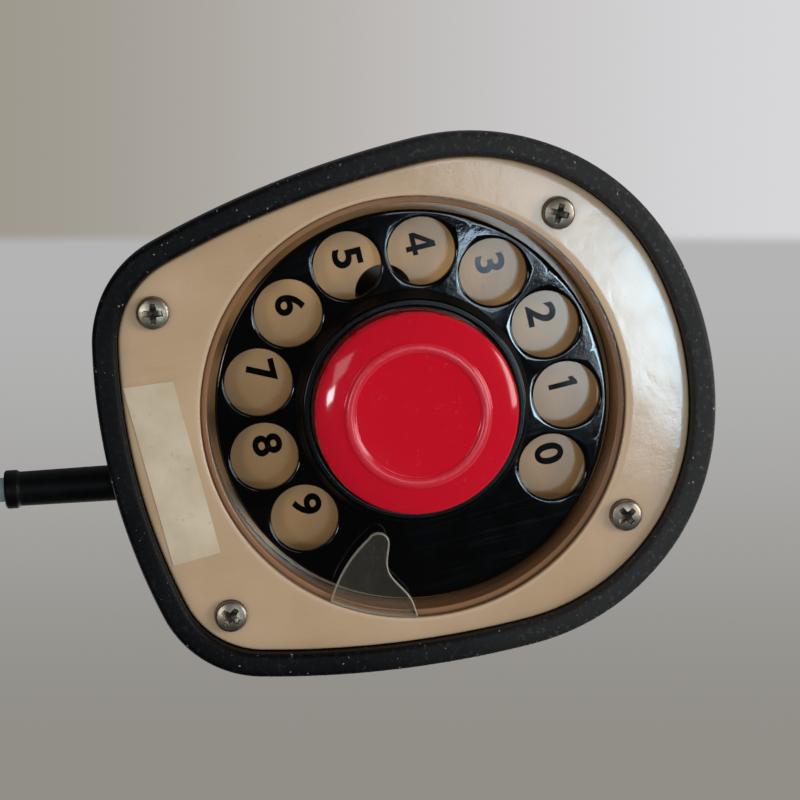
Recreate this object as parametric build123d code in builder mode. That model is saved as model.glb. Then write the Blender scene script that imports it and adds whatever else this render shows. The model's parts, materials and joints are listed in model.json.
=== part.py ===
# One-piece upright rotary telephone: the handset stands on its own dial.
# Frame: +Z up, -Y the mouthpiece side, +Y the cord side, X across.
# The origin is on the dial's axis, in the plane that the foot ring stands on.
# Lengths in millimetres, angles in degrees.
import math
import os

from build123d import *

# ---- foot outline: five tangent arcs a side, from the nose round to the back
rim_front = 56.3
rim_back = 57.4
rim_half_width = 48.9
nose_radius = 62.0
shoulder_radius = 44.0
flank_radius = 190.0
corner_radius = 21.0
back_radius = 120.0
rim_samples = 16  # spline points on each half of a housing section

# ---- housing: each row is a section, (front y, z), (back y, z), half width, how
# far it keeps the foot outline's shape (1) or is oval (0), and its front's fullness
housing_rows = [
    ((-55.5, 5.0), (56.6, 5.0), 48.1, 1.0, 2.0),
    ((-51.0, 20.0), (55.2, 20.0), 45.8, 0.9, 2.0),
    ((-40.5, 43.0), (51.0, 43.0), 39.4, 0.6, 2.0),
    ((-26.0, 73.0), (45.0, 73.0), 32.0, 0.3, 2.0),
    ((-13.5, 104.0), (39.5, 104.0), 26.4, 0.1, 2.0),
    ((-6.5, 135.0), (35.5, 135.0), 23.4, 0.0, 2.0),
    ((-4.6, 157.0), (32.5, 159.0), 23.0, 0.0, 2.1),
    ((-4.9, 168.0), (29.5, 177.5), 23.6, 0.0, 2.4),
    ((-6.2, 176.5), (25.5, 194.0), 25.0, 0.0, 2.9),
    ((-10.5, 185.8), (20.6, 207.6), 26.6, 0.0, 3.5),
    ((-17.4, 195.6), (13.3, 217.8), 27.6, 0.0, 3.8),
    ((-24.3, 205.4), (3.1, 225.6), 26.8, 0.0, 3.8),
    ((-29.8, 213.8), (-7.9, 230.0), 22.8, 0.0, 3.2),
    ((-32.8, 220.3), (-18.8, 230.9), 15.5, 0.0, 2.6),
    ((-32.6, 225.2), (-27.4, 229.6), 7.5, 0.0, 2.0),
]
housing_wall = 2.6
foot_height = 5.0  # top of the rubber ring, where the housing's edge stands

# ---- ear end
ear_lean = 35.0  # how far the ear face looks down from level
ear_centre_y = -18.4
ear_centre_z = 202.2
ear_well_radius = 22.6
ear_well_clearance = 12.0  # cuts clear of the head's front
ear_cap_radius = 21.6
ear_cap_depth = 3.4
ear_cap_dome = 1.2
ear_hole_radius = 1.1
ear_hole_rings = ((1, 0.0), (6, 5.2), (12, 10.4))
receiver_radius = 17.6
receiver_depth = 13.0
gasket_thickness = 1.4

# ---- mouth end
mouth_z = 34.0
mouth_lean = 25.0  # the capsule looks up from level by this much
mouth_hole_radius = 1.1
mouth_hole_pitch = 4.2
transmitter_radius = 11.5
transmitter_depth = 8.0
transmitter_setback = 5.4  # from the housing's outer face to the capsule
transmitter_cup_wall = 1.3

# ---- rubber foot ring
ring_width = 4.5
ring_edge_radius = 0.8
ring_upstand_height = 1.2
ring_upstand_width = 0.55

# ---- base plate with the dial's well
plate_face = 2.6
plate_thickness = 2.4
plate_gap = 0.15
well_lip_radius = 39.7
well_ledge_depth = 1.3
well_radius = 38.4
well_wall = 2.0
base_screw_front = (29.3, -34.1)
base_screw_back = (29.3, 42.4)
base_screw_shank = 1.5
base_screw_head = 3.05
base_screw_head_height = 1.8
base_screw_length = 11.0
boss_radius = 4.0
boss_height = 26.0

# ---- dial, from the wheel inwards
digit_count = 10
first_hole_angle = -52.3  # of the zero's hole, from +X towards +Y
hole_pitch_angle = 27.8  # the other digits follow it round the other way
hole_pitch_radius = 29.2
finger_hole_radius = 6.3
wheel_face = 6.6
wheel_radius = 36.9
wheel_thickness = 1.6
collar_radius = 22.0
collar_crest_radius = 20.7
collar_crest_z = 2.0
collar_bore = 19.3
collar_spigot_radius = 20.4
flange_thickness = 1.4
flange_radius = 22.2
number_gap = 2.3
number_thickness = 1.2
number_bore = 12.4
access_hole_radius = 5.4
access_hole_pitch = 21.4
frame_thickness = 1.5
frame_radius = 40.3
lug_pitch_radius = 41.7
lug_radius = 2.4
lug_angles = (90.0, 210.0, 330.0)
lug_screw_radius = 1.25
lug_screw_head = 2.2
lug_screw_head_height = 1.5
lug_screw_length = 7.0
finger_stop_thickness = 1.6
finger_stop_back_angle = 36.9  # where its root ends on the well's ledge
finger_stop_front_angle = 12.2
finger_stop_back_point = (24.6, 18.2)
finger_stop_tip = ((21.6, 14.0), (21.2, 11.4), (23.6, 10.4))
finger_stop_hollow = ((28.8, 11.7), (34.6, 8.9))

# ---- hub, spring and gears above the dial frame
hub_radius = 7.0
hub_bore = 4.4
bush_radius = 9.0
bush_flange_radius = 11.2
bush_rise = 0.8
cup_radius = 15.0
cup_wall = 0.8
cup_height = 5.6
mainspring_strip = 0.35
mainspring_turns = 5
turn_steps = 20  # straight pieces in one turn of it
mainspring_height = 3.8
gear_module = 0.7
drive_teeth = 60
pinion_teeth = 12
drive_thickness = 1.6
drive_z = 21.0
cam_radius = 13.0
cam_notch_radius = 1.6
cam_thickness = 2.4
clip_thickness = 0.8
clip_radius = 9.4
clip_groove_radius = 6.4
hub_top = 28.2

# ---- governor train
pinion_bearing_angle = 60.0
spindle_radius = 1.5
worm_wheel_teeth = 16
worm_starts = 2
worm_wheel_module = 0.9
worm_wheel_thickness = 3.0
worm_z = 29.2
worm_root_radius = 1.7
worm_thread_height = 1.0
worm_thread_width = 0.9
worm_length = 10.0
governor_spindle_radius = 1.2
governor_cup_radius = 8.5
governor_cup_wall = 1.0
governor_cup_depth = 9.0
governor_weight_radius = 2.2
governor_weight_orbit = 4.6
governor_weight_length = 4.0
governor_ear_thickness = 1.4
governor_ear_spread = 10.6  # each ear's distance from the worm's middle
governor_ear_width = 7.0
governor_ear_rise = 4.0  # above the worm's axis

# ---- top plate over the movement
top_plate_z = 34.6
top_plate_thickness = 1.5
guide_radius = 6.4
guide_flange_radius = 8.4
guide_flange_thickness = 1.0
guide_drop = 1.0  # below the top plate
pillar_radius = 2.6
pillar_pitch_radius = 27.0
pillar_angles = (-45.0, 15.0, 150.0, 225.0)
top_plate_margin = 4.6  # round each pillar and bearing
pillar_screw_radius = 1.2
pillar_screw_head = 2.2
pillar_screw_head_height = 1.4

# ---- hook-switch plunger
plunger_travel = 4.5
button_radius = 18.9
button_face_drop = 4.0  # its shoulder stands this far below the foot plane
button_ring_height = 0.5
button_ring_outer = 13.8
button_ring_inner = 11.7
button_wall = 1.6
button_skirt_gap = 0.3  # left above the skirt when the button is pressed home
button_bevel = 2.6  # how far its shoulder slopes in
button_boss_radius = 6.0
stem_radius = 4.0
stem_top = 41.0
stem_nose_radius = 1.6  # the rounded tip that lifts the lever
stem_clip_radius = 6.2
stem_clip_groove = 3.4
stem_sink = 3.6  # how deep the stem sits in the button's boss
plunger_spring_radius = 8.4
plunger_spring_wire = 0.45
plunger_spring_turns = 4

# ---- hook switch
lever_pivot_x = -14.0
lever_reach = 17.0
lever_tail = 10.0
lever_width = 6.0
lever_thickness = 1.5
lever_pin_radius = 1.0
lever_pivot_rise = 1.5  # pivot above the lever's underside
lever_boss_radius = 2.4
switch_ear_thickness = 1.2
leaf_thickness = 0.3
leaf_pitch = 1.1
leaf_width = 1.8
leaf_block = 6.0  # length of the insulated stack that grips the leaves
pulse_leaf_length = 30.0
hook_leaf_length = 14.0
hook_leaf_start = 10.0  # the y its stack begins at

# ---- inside the neck
strap_y = 14.0
strap_width = 18.0
strap_thickness = 1.2
strap_top = 176.0
strap_foot = 5.0
core_size = (28.0, 14.0, 22.0)
core_leg = 4.5
core_z = 72.0
winding_size = (18.0, 20.0, 12.6)
capacitor_size = (18.0, 9.0, 26.0)
capacitor_z = 74.0
board_size = (24.0, 1.6, 34.0)
board_z = 112.0
terminal_radius = 1.6
terminal_height = 2.6
terminal_spacing = (14.0, 10.0)

# ---- cord
cord_diameter = 4.6
boot_radius = 3.35
boot_bead_radius = 3.6
boot_reach = 20.5  # beyond the foot outline
boot_turn = 10.6  # swing of the boot from straight back
boot_x = 1.1  # where its axis crosses the foot outline
boot_z = 11.0
boot_bead_length = 2.4
boot_flange_radius = 4.6
boot_flange_thickness = 2.0
boot_inner_reach = 7.4  # from the foot outline back to the flange's inner end
cord_first_run = 17.8  # straight on from the boot
cord_route = (
    (-14.5, 113.5, 6.8),
    (-22.5, 132.5, 2.3),
    (-27.5, 151.0, 2.3),
)
cord_coil_outer = 39.2
cord_coil_inner = 16.0
cord_coil_height = 9.2
cord_coil_lead = 20.0  # straight cord fused to the coil at its start
cord_coil_tail = 23.0  # and at its end
plug_size = (28.0, 38.0, 13.8)
plug_sleeve_radius = 4.2
plug_sleeve_length = 12.0
plug_pin_radius = 2.0
plug_pin_length = 15.0
plug_pin_spacing = 15.0

# ---- clearances
seat = 0.1  # between pieces that sit in each other
running = 0.05  # radial, round a turning or sliding shaft
air = 0.3  # between moving and fixed pieces

# ---- heights that follow from the sizes above
plate_top = plate_face + plate_thickness
ledge_z = plate_face + well_ledge_depth
wheel_back = wheel_face + wheel_thickness
flange_back = wheel_back + flange_thickness
number_face = flange_back + number_gap
frame_bottom = number_face + number_thickness
frame_top = frame_bottom + frame_thickness
bush_top = frame_top + bush_rise
drive_top = drive_z + drive_thickness
cam_z = drive_top + 0.4
clip_z = cam_z + cam_thickness + 0.4
top_plate_top = top_plate_z + top_plate_thickness
guide_top = top_plate_top + guide_flange_thickness
drive_pitch_radius = gear_module * drive_teeth / 2
pinion_pitch_radius = gear_module * pinion_teeth / 2
gear_centres = drive_pitch_radius + pinion_pitch_radius
pinion_x = gear_centres * math.cos(math.radians(pinion_bearing_angle))
pinion_y = gear_centres * math.sin(math.radians(pinion_bearing_angle))
worm_wheel_radius = worm_wheel_module * worm_wheel_teeth / 2
worm_outer = worm_root_radius + worm_thread_height
worm_wheel_tip = worm_wheel_radius + worm_wheel_module
worm_y = pinion_y + worm_wheel_tip + worm_outer + seat
skirt_end = wheel_back - plunger_travel - button_skirt_gap
button_face = -button_face_drop
lever_bottom = stem_top + air
pivot_z = lever_bottom + lever_pivot_rise
screw_places = [
    (side * place[0], place[1])
    for place in (base_screw_front, base_screw_back)
    for side in (-1, 1)
]


def keep(made, name):
    made.part.label = name
    export_step(made.part, "parts/" + name + ".step")


# Centre, radius, start and sweep of each arc of the foot outline's right half.
def rim_arcs(inset):
    nose = Vector(0, nose_radius - rim_front)
    shoulder_x = rim_half_width - shoulder_radius
    reach = nose_radius - shoulder_radius
    shoulder = Vector(shoulder_x, nose.Y - math.sqrt(reach**2 - shoulder_x**2))
    flank = Vector(rim_half_width - flank_radius, shoulder.Y)
    back = Vector(0, rim_back - back_radius)
    # the corner arc touches the flank arc and the back arc from inside
    to_flank = flank_radius - corner_radius
    to_back = back_radius - corner_radius
    between = back - flank
    along = (to_flank**2 - to_back**2 + between.length**2) / (2 * between.length)
    across = math.sqrt(to_flank**2 - along**2)
    line = between.normalized()
    corner = flank + line * along + Vector(-line.Y, line.X) * across
    turns = [
        -90.0,
        bearing(nose, shoulder),
        0.0,
        bearing(flank, corner),
        bearing(back, corner),
        90.0,
    ]
    centres = [nose, shoulder, flank, corner, back]
    radii = [nose_radius, shoulder_radius, flank_radius, corner_radius, back_radius]
    return [
        (centre, radius - inset, start, end - start)
        for centre, radius, start, end in zip(centres, radii, turns, turns[1:])
    ]


def bearing(start, end):
    return math.degrees(math.atan2(end.Y - start.Y, end.X - start.X))


# The foot outline at height z, moved in by inset.
def rim_face(inset, z):
    with BuildSketch(Plane.XY.offset(z)) as rim:
        with BuildLine():
            for centre, radius, start, sweep_angle in rim_arcs(inset):
                CenterArc(centre, radius, start, sweep_angle)
            mirror(about=Plane.YZ)
        make_face()
    return rim.sketch


# Points at equal steps along the right half of the foot outline.
def rim_half_points():
    arcs = rim_arcs(0)
    lengths = [radius * math.radians(turn) for _, radius, _, turn in arcs]
    points = []
    for step in range(rim_samples + 1):
        left = sum(lengths) * step / rim_samples
        place = 0
        while place < len(arcs) - 1 and left > lengths[place]:
            left -= lengths[place]
            place += 1
        centre, radius, start, _ = arcs[place]
        angle = math.radians(start) + left / radius
        points.append((centre.X + radius * math.cos(angle), centre.Y + radius * math.sin(angle)))
    return points


# The right half of a section: between the foot outline's shape and an oval whose
# front half is the fuller the higher its power.
def section_points(half_width, half_depth, rim_share, fullness):
    middle = (rim_back - rim_front) / 2
    reach = (rim_back + rim_front) / 2
    right = []
    for step, (x, y) in enumerate(rim_half_points()):
        angle = math.pi * step / rim_samples
        power = 2 / fullness if step < rim_samples / 2 else 1.0
        oval_x = math.sin(angle) ** power
        oval_y = -math.copysign(abs(math.cos(angle)) ** power, math.cos(angle))
        across = rim_share * x / rim_half_width + (1 - rim_share) * oval_x
        along = rim_share * (y - middle) / reach + (1 - rim_share) * oval_y
        right.append((half_width * across, half_depth * along))
    return right


# One housing section on its own plane, moved in by wall.
def housing_section(row, wall):
    (front_y, front_z), (back_y, back_z), half_width, rim_share, fullness = row
    front = Vector(0, front_y, front_z)
    back = Vector(0, back_y, back_z)
    slope = (back - front).normalized()
    front += slope * wall
    back -= slope * wall
    normal = Vector(1, 0, 0).cross(slope)
    half_depth = (back - front).length / 2
    points = section_points(half_width - wall, half_depth, rim_share, fullness)
    with BuildSketch(Plane(origin=(front + back) / 2, x_dir=(1, 0, 0), z_dir=normal)) as section:
        with BuildLine():
            Spline(*points, tangents=[(1, 0), (-1, 0)])
            mirror(about=Plane.YZ)
        make_face()
    return section.sketch


# The ear face's plane: its middle, with +Y up the slope and +Z out of the ear.
def ear_plane(depth=0.0):
    lean = math.radians(ear_lean)
    out = Vector(0, -math.cos(lean), -math.sin(lean))
    middle = Vector(0, ear_centre_y, ear_centre_z)
    return Plane(origin=middle - out * depth, x_dir=(-1, 0, 0), z_dir=out)


# The mouth plane: on the housing's front wall, +Z out towards the speaker.
def mouth_plane(depth=0.0):
    low, high = housing_rows[1], housing_rows[2]
    share = (mouth_z - low[0][1]) / (high[0][1] - low[0][1])
    wall_y = low[0][0] + share * (high[0][0] - low[0][0])
    lean = math.radians(mouth_lean)
    out = Vector(0, -math.cos(lean), math.sin(lean))
    return Plane(origin=Vector(0, wall_y, mouth_z) - out * depth, x_dir=(1, 0, 0), z_dir=out)


# The boot leaves the back wall at a slant; +Z runs out along the cord.
def boot_plane(along=0.0):
    turn = math.radians(boot_turn)
    out = Vector(-math.sin(turn), math.cos(turn), 0)
    start = Vector(boot_x, rim_back, boot_z)
    return Plane(origin=start + out * along, x_dir=(0, 0, 1), z_dir=out)


def finger_hole_places(radius):
    start = first_hole_angle - hole_pitch_angle * (digit_count - 1)
    return PolarLocations(radius, digit_count, start, hole_pitch_angle * digit_count)


# ---------------------------------------------------------------- housing
def housing_form():
    with BuildPart() as form:
        loft(sections=[housing_section(row, 0) for row in housing_rows])
        # the ear face is a round flat let into the front of the head
        with BuildSketch(ear_plane()):
            Circle(ear_well_radius)
        extrude(amount=ear_well_clearance, mode=Mode.SUBTRACT)
    return form


def make_housing():
    form = housing_form()
    with BuildPart() as bosses:
        with BuildSketch(Plane.XY.offset(plate_top)):
            with Locations(*screw_places):
                Circle(boss_radius)
        extrude(amount=boss_height)
        add(form.part, mode=Mode.INTERSECT)
    with BuildPart() as housing:
        add(form.part)
        loft(
            sections=[housing_section(row, housing_wall) for row in housing_rows[:-3]],
            mode=Mode.SUBTRACT,
        )
        add(bosses.part)
        with BuildSketch(Plane.XY.offset(plate_top)):
            with Locations(*screw_places):
                Circle(base_screw_shank + seat)
        extrude(amount=base_screw_length, mode=Mode.SUBTRACT)
        # the cap's pocket and the receiver's seat behind it
        with BuildSketch(ear_plane()):
            Circle(ear_cap_radius + seat)
        extrude(amount=-(ear_cap_depth - ear_cap_dome), mode=Mode.SUBTRACT)
        with BuildSketch(ear_plane()):
            Circle(receiver_radius + seat)
        extrude(amount=-(ear_cap_depth + gasket_thickness + receiver_depth + air), mode=Mode.SUBTRACT)
        # the mouth's sound holes
        with BuildSketch(mouth_plane(-2)):
            with HexLocations(mouth_hole_pitch / 2, 3, 3):
                Circle(mouth_hole_radius)
        extrude(amount=-(transmitter_setback + 2), mode=Mode.SUBTRACT)
        # the cord's way out of the back wall
        with BuildSketch(boot_plane(-8)):
            Circle(boot_radius + seat)
        extrude(amount=12, mode=Mode.SUBTRACT)
    keep(housing, "housing")


# The ear cap: a domed disc with rings of sound holes.
def make_ear_cap():
    with BuildPart() as ear_cap:
        with BuildSketch(Plane.XZ):
            with BuildLine():
                crown = ThreePointArc(
                    (0, ear_cap_depth),
                    (ear_cap_radius * 0.6, ear_cap_depth - ear_cap_dome * 0.36),
                    (ear_cap_radius - 0.6, ear_cap_depth - ear_cap_dome),
                )
                Polyline(
                    crown @ 1,
                    (ear_cap_radius, ear_cap_depth - ear_cap_dome - 0.6),
                    (ear_cap_radius, 0),
                    (0, 0),
                    (0, ear_cap_depth),
                )
            make_face()
        revolve(axis=Axis.Z)
        for count, ring_radius in ear_hole_rings:
            with BuildSketch():
                with PolarLocations(ring_radius, count):
                    Circle(ear_hole_radius)
            extrude(amount=ear_cap_depth, mode=Mode.SUBTRACT)
    seated = ear_plane(ear_cap_depth - ear_cap_dome)
    ear_cap.part = seated.location * ear_cap.part
    keep(ear_cap, "ear_cap")


def make_gasket():
    depth = ear_cap_depth - ear_cap_dome + gasket_thickness
    with BuildPart() as gasket:
        with BuildSketch(ear_plane(depth)):
            Circle(receiver_radius)
            Circle(receiver_radius - 4.0, mode=Mode.SUBTRACT)
        extrude(amount=gasket_thickness)
    keep(gasket, "receiver_gasket")


def make_receiver():
    depth = ear_cap_depth - ear_cap_dome + gasket_thickness
    with BuildPart() as receiver:
        with BuildSketch(ear_plane(depth)):
            Circle(receiver_radius)
        extrude(amount=-receiver_depth * 0.6)
        with BuildSketch(ear_plane(depth)):
            Circle(receiver_radius * 0.7)
        extrude(amount=-receiver_depth)
    keep(receiver, "receiver_capsule")


def make_transmitter():
    with BuildPart() as capsule:
        with BuildSketch(mouth_plane(transmitter_setback)):
            Circle(transmitter_radius)
        extrude(amount=-transmitter_depth)
    keep(capsule, "transmitter_capsule")
    with BuildPart() as cup:
        with BuildSketch(mouth_plane(transmitter_setback - 1.0)):
            Circle(transmitter_radius + transmitter_cup_wall)
        extrude(amount=-transmitter_depth * 0.8)
        with BuildSketch(mouth_plane(transmitter_setback - 1.0)):
            Circle(transmitter_radius + seat)
        extrude(amount=-transmitter_depth, mode=Mode.SUBTRACT)
    keep(cup, "transmitter_cup")


# ---------------------------------------------------------------- foot
def make_foot_ring():
    with BuildPart() as foot_ring:
        extrude(rim_face(0, 0), amount=foot_height)
        extrude(rim_face(ring_width - ring_upstand_width, foot_height), amount=ring_upstand_height)
        extrude(
            rim_face(ring_width, 0),
            amount=foot_height + ring_upstand_height,
            mode=Mode.SUBTRACT,
        )
        fillet(foot_ring.edges().group_by(Axis.Z)[0], ring_edge_radius)
    keep(foot_ring, "foot_ring")


def lug_places():
    return [
        (lug_pitch_radius * math.cos(math.radians(angle)), lug_pitch_radius * math.sin(math.radians(angle)))
        for angle in lug_angles
    ]


def make_base_plate():
    with BuildPart() as base_plate:
        extrude(rim_face(ring_width + plate_gap, plate_face), amount=plate_thickness)
        chamfer(base_plate.edges().group_by(Axis.Z)[0], 0.4)
        with BuildSketch(Plane.XY.offset(plate_top)):
            Circle(well_radius + well_wall)
            with Locations(*lug_places()):
                Circle(lug_radius)
        extrude(amount=frame_bottom - plate_top)
        with BuildSketch(Plane.XY.offset(plate_face)):
            Circle(well_radius)
        extrude(amount=frame_bottom - plate_face, mode=Mode.SUBTRACT)
        with BuildSketch(Plane.XY.offset(plate_face)):
            Circle(well_lip_radius)
        extrude(amount=well_ledge_depth, mode=Mode.SUBTRACT)
        with BuildSketch(Plane.XY.offset(plate_face)):
            with Locations(*screw_places):
                Circle(base_screw_shank + seat)
        extrude(amount=plate_thickness, mode=Mode.SUBTRACT)
        with BuildSketch(Plane.XY.offset(frame_bottom)):
            with Locations(*lug_places()):
                Circle(lug_screw_radius + seat / 2)
        extrude(amount=-lug_screw_length, mode=Mode.SUBTRACT)
    keep(base_plate, "base_plate")


# Pan-head screws as one group: heads on the face at height z, shanks along +Z
# when up is 1 and along -Z when it is -1.
def make_screws(name, places, z, up, shank, length, head, head_height):
    with BuildPart() as screws:
        with BuildSketch(Plane.XY.offset(z)):
            with Locations(*places):
                Circle(shank)
        extrude(amount=up * length)
        with BuildSketch(Plane.XY.offset(z)):
            with Locations(*places):
                Circle(head)
        extrude(amount=-up * head_height)
        outer = screws.edges().filter_by(GeomType.CIRCLE).group_by(Axis.Z)[0 if up > 0 else -1]
        chamfer(outer, head_height * 0.4)
    keep(screws, name)


# ---------------------------------------------------------------- dial
# A turned piece: its half profile as (radius, height) points.
def turned(*points):
    with BuildPart() as piece:
        with BuildSketch(Plane.XZ):
            with BuildLine():
                Polyline(*points, close=True)
            make_face()
        revolve(axis=Axis.Z)
    return piece


def make_number_plate():
    with BuildPart() as number_plate:
        with BuildSketch(Plane.XY.offset(number_face)):
            Circle(well_radius - seat)
            Circle(number_bore, mode=Mode.SUBTRACT)
            with Locations((-access_hole_pitch, 0)):
                Circle(access_hole_radius, mode=Mode.SUBTRACT)
        extrude(amount=number_thickness)
    keep(number_plate, "number_plate")


def make_finger_wheel():
    with BuildPart() as finger_wheel:
        with BuildSketch(Plane.XY.offset(wheel_face)):
            Circle(wheel_radius)
            Circle(collar_spigot_radius + seat, mode=Mode.SUBTRACT)
            with finger_hole_places(hole_pitch_radius):
                Circle(finger_hole_radius, mode=Mode.SUBTRACT)
        extrude(amount=wheel_thickness)
        chamfer(finger_wheel.edges().group_by(Axis.Z)[0], 0.4)
    keep(finger_wheel, "finger_wheel")


def make_collar():
    lip = 0.5
    collar = turned(
        (collar_bore, collar_crest_z + lip),
        (collar_bore + lip, collar_crest_z),
        (collar_crest_radius, collar_crest_z),
        (collar_crest_radius + lip, collar_crest_z + lip),
        (collar_radius, wheel_face - 0.8),
        (collar_radius, wheel_face),
        (collar_spigot_radius, wheel_face),
        (collar_spigot_radius, wheel_back),
        (collar_bore, wheel_back),
    )
    keep(collar, "wheel_collar")


def make_finger_stop():
    root = well_lip_radius - seat
    with BuildPart() as finger_stop:
        with BuildSketch(Plane.XY.offset(ledge_z - finger_stop_thickness)):
            with BuildLine():
                edge = CenterArc(
                    (0, 0), root, finger_stop_front_angle,
                    finger_stop_back_angle - finger_stop_front_angle,
                )
                ThreePointArc(edge @ 1, finger_stop_back_point, finger_stop_tip[0])
                ThreePointArc(*finger_stop_tip)
                Spline(finger_stop_tip[-1], *finger_stop_hollow, edge @ 0)
            make_face()
        extrude(amount=finger_stop_thickness)
    keep(finger_stop, "finger_stop")


def make_hub():
    hub = turned(
        (hub_bore, wheel_back),
        (flange_radius, wheel_back),
        (flange_radius, flange_back),
        (hub_radius, flange_back),
        (hub_radius, clip_z),
        (clip_groove_radius, clip_z),
        (clip_groove_radius, clip_z + clip_thickness),
        (hub_radius, clip_z + clip_thickness),
        (hub_radius, hub_top),
        (hub_bore, hub_top),
    )
    keep(hub, "dial_hub")


def make_dial_frame():
    with BuildPart() as dial_frame:
        with BuildSketch(Plane.XY.offset(frame_bottom)):
            Circle(frame_radius)
            with Locations(*lug_places()):
                Circle(lug_radius)
            Circle(bush_radius + seat, mode=Mode.SUBTRACT)
            with Locations((-access_hole_pitch, 0)):
                Circle(access_hole_radius, mode=Mode.SUBTRACT)
            with Locations((pinion_x, pinion_y)):
                Circle(spindle_radius + running, mode=Mode.SUBTRACT)
            with Locations(*lug_places()):
                Circle(lug_screw_radius + seat / 2, mode=Mode.SUBTRACT)
        extrude(amount=frame_thickness)
    keep(dial_frame, "dial_frame")


def make_bush():
    bush = turned(
        (hub_radius + running, number_face),
        (bush_flange_radius, number_face),
        (bush_flange_radius, frame_bottom),
        (bush_radius, frame_bottom),
        (bush_radius, bush_top),
        (hub_radius + running, bush_top),
    )
    keep(bush, "bearing_bush")


def make_spring_cup():
    cup = turned(
        (bush_radius + seat, frame_top),
        (cup_radius, frame_top),
        (cup_radius, frame_top + cup_height),
        (cup_radius - cup_wall, frame_top + cup_height),
        (cup_radius - cup_wall, frame_top + cup_wall),
        (bush_radius + seat, frame_top + cup_wall),
    )
    keep(cup, "spring_cup")


# A flat spiral strip from the hub out to the cup.
def make_mainspring():
    start = hub_radius + air
    reach = cup_radius - cup_wall - air - mainspring_strip - start
    steps = mainspring_turns * turn_steps
    inner, outer = [], []
    for step in range(steps + 1):
        angle = 2 * math.pi * step / turn_steps
        radius = start + reach * step / steps
        inner.append((radius * math.cos(angle), radius * math.sin(angle)))
        radius += mainspring_strip
        outer.append((radius * math.cos(angle), radius * math.sin(angle)))
    with BuildPart() as mainspring:
        with BuildSketch(Plane.XY.offset(bush_top + air)):
            with BuildLine():
                Polyline(*inner, *reversed(outer), close=True)
            make_face()
        extrude(amount=mainspring_height)
    keep(mainspring, "mainspring")


# A spur gear's outline with straight-sided teeth, a tooth centred on +X after
# turning by phase degrees.
def gear_outline(teeth, module, phase):
    pitch = module * teeth / 2
    step = 2 * math.pi / teeth
    profile = (
        (pitch - 1.25 * module, 0.95 * module),
        (pitch, 0.70 * module),
        (pitch + 0.95 * module, 0.32 * module),
    )
    points = []
    for tooth in range(teeth):
        middle = math.radians(phase) + step * tooth
        for side in (-1, 1):
            for radius, half in profile[::-side]:
                angle = middle + side * half / radius
                points.append((radius * math.cos(angle), radius * math.sin(angle)))
    return points


def make_drive_gear():
    with BuildPart() as drive_gear:
        with BuildSketch(Plane.XY.offset(drive_z)):
            with BuildLine():
                Polyline(*gear_outline(drive_teeth, gear_module, pinion_bearing_angle), close=True)
            make_face()
            Circle(hub_radius + seat, mode=Mode.SUBTRACT)
            with PolarLocations((hub_radius + drive_pitch_radius) / 2, 6):
                Circle(3.6, mode=Mode.SUBTRACT)
        extrude(amount=drive_thickness)
    keep(drive_gear, "drive_gear")


# One notch for each impulse, spaced like the finger holes.
def make_cam():
    with BuildPart() as cam:
        with BuildSketch(Plane.XY.offset(cam_z)):
            Circle(cam_radius)
            Circle(hub_radius + seat, mode=Mode.SUBTRACT)
            with finger_hole_places(cam_radius):
                Circle(cam_notch_radius, mode=Mode.SUBTRACT)
        extrude(amount=cam_thickness)
    keep(cam, "pulse_cam")


# An open ring that snaps into a shaft's groove.
def make_clip(name, inner, outer, z, opening):
    with BuildPart() as clip:
        with BuildSketch(Plane.XY.offset(z)):
            Circle(outer)
            Circle(inner + seat / 2, mode=Mode.SUBTRACT)
            with Locations((outer, 0)):
                Rectangle(2 * outer, opening, mode=Mode.SUBTRACT)
        extrude(amount=clip_thickness - seat)
    keep(clip, name)


# ---------------------------------------------------------------- governor
def make_pinion():
    with BuildPart() as pinion:
        with BuildSketch(Plane((pinion_x, pinion_y, drive_z - 0.6))):
            with BuildLine():
                phase = pinion_bearing_angle + 180 + 180 / pinion_teeth
                Polyline(*gear_outline(pinion_teeth, gear_module, phase), close=True)
            make_face()
            Circle(spindle_radius, mode=Mode.SUBTRACT)
        extrude(amount=drive_thickness + 1.2)
    keep(pinion, "pinion")
    with BuildPart() as spindle:
        with BuildSketch(Plane((pinion_x, pinion_y, frame_bottom + 0.2))):
            Circle(spindle_radius)
        extrude(amount=top_plate_top - 0.2 - frame_bottom - 0.2)
    keep(spindle, "pinion_spindle")
    with BuildPart() as worm_wheel:
        with BuildSketch(Plane((pinion_x, pinion_y, worm_z - worm_wheel_thickness / 2))):
            with BuildLine():
                Polyline(*gear_outline(worm_wheel_teeth, worm_wheel_module, 90), close=True)
            make_face()
            Circle(spindle_radius, mode=Mode.SUBTRACT)
        extrude(amount=worm_wheel_thickness)
    keep(worm_wheel, "worm_wheel")


# The worm's plane: +Z along its spindle towards +X, from x on the worm's axis.
def worm_plane(x):
    return Plane(origin=(x, worm_y, worm_z), x_dir=(0, 1, 0), z_dir=(1, 0, 0))


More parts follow.
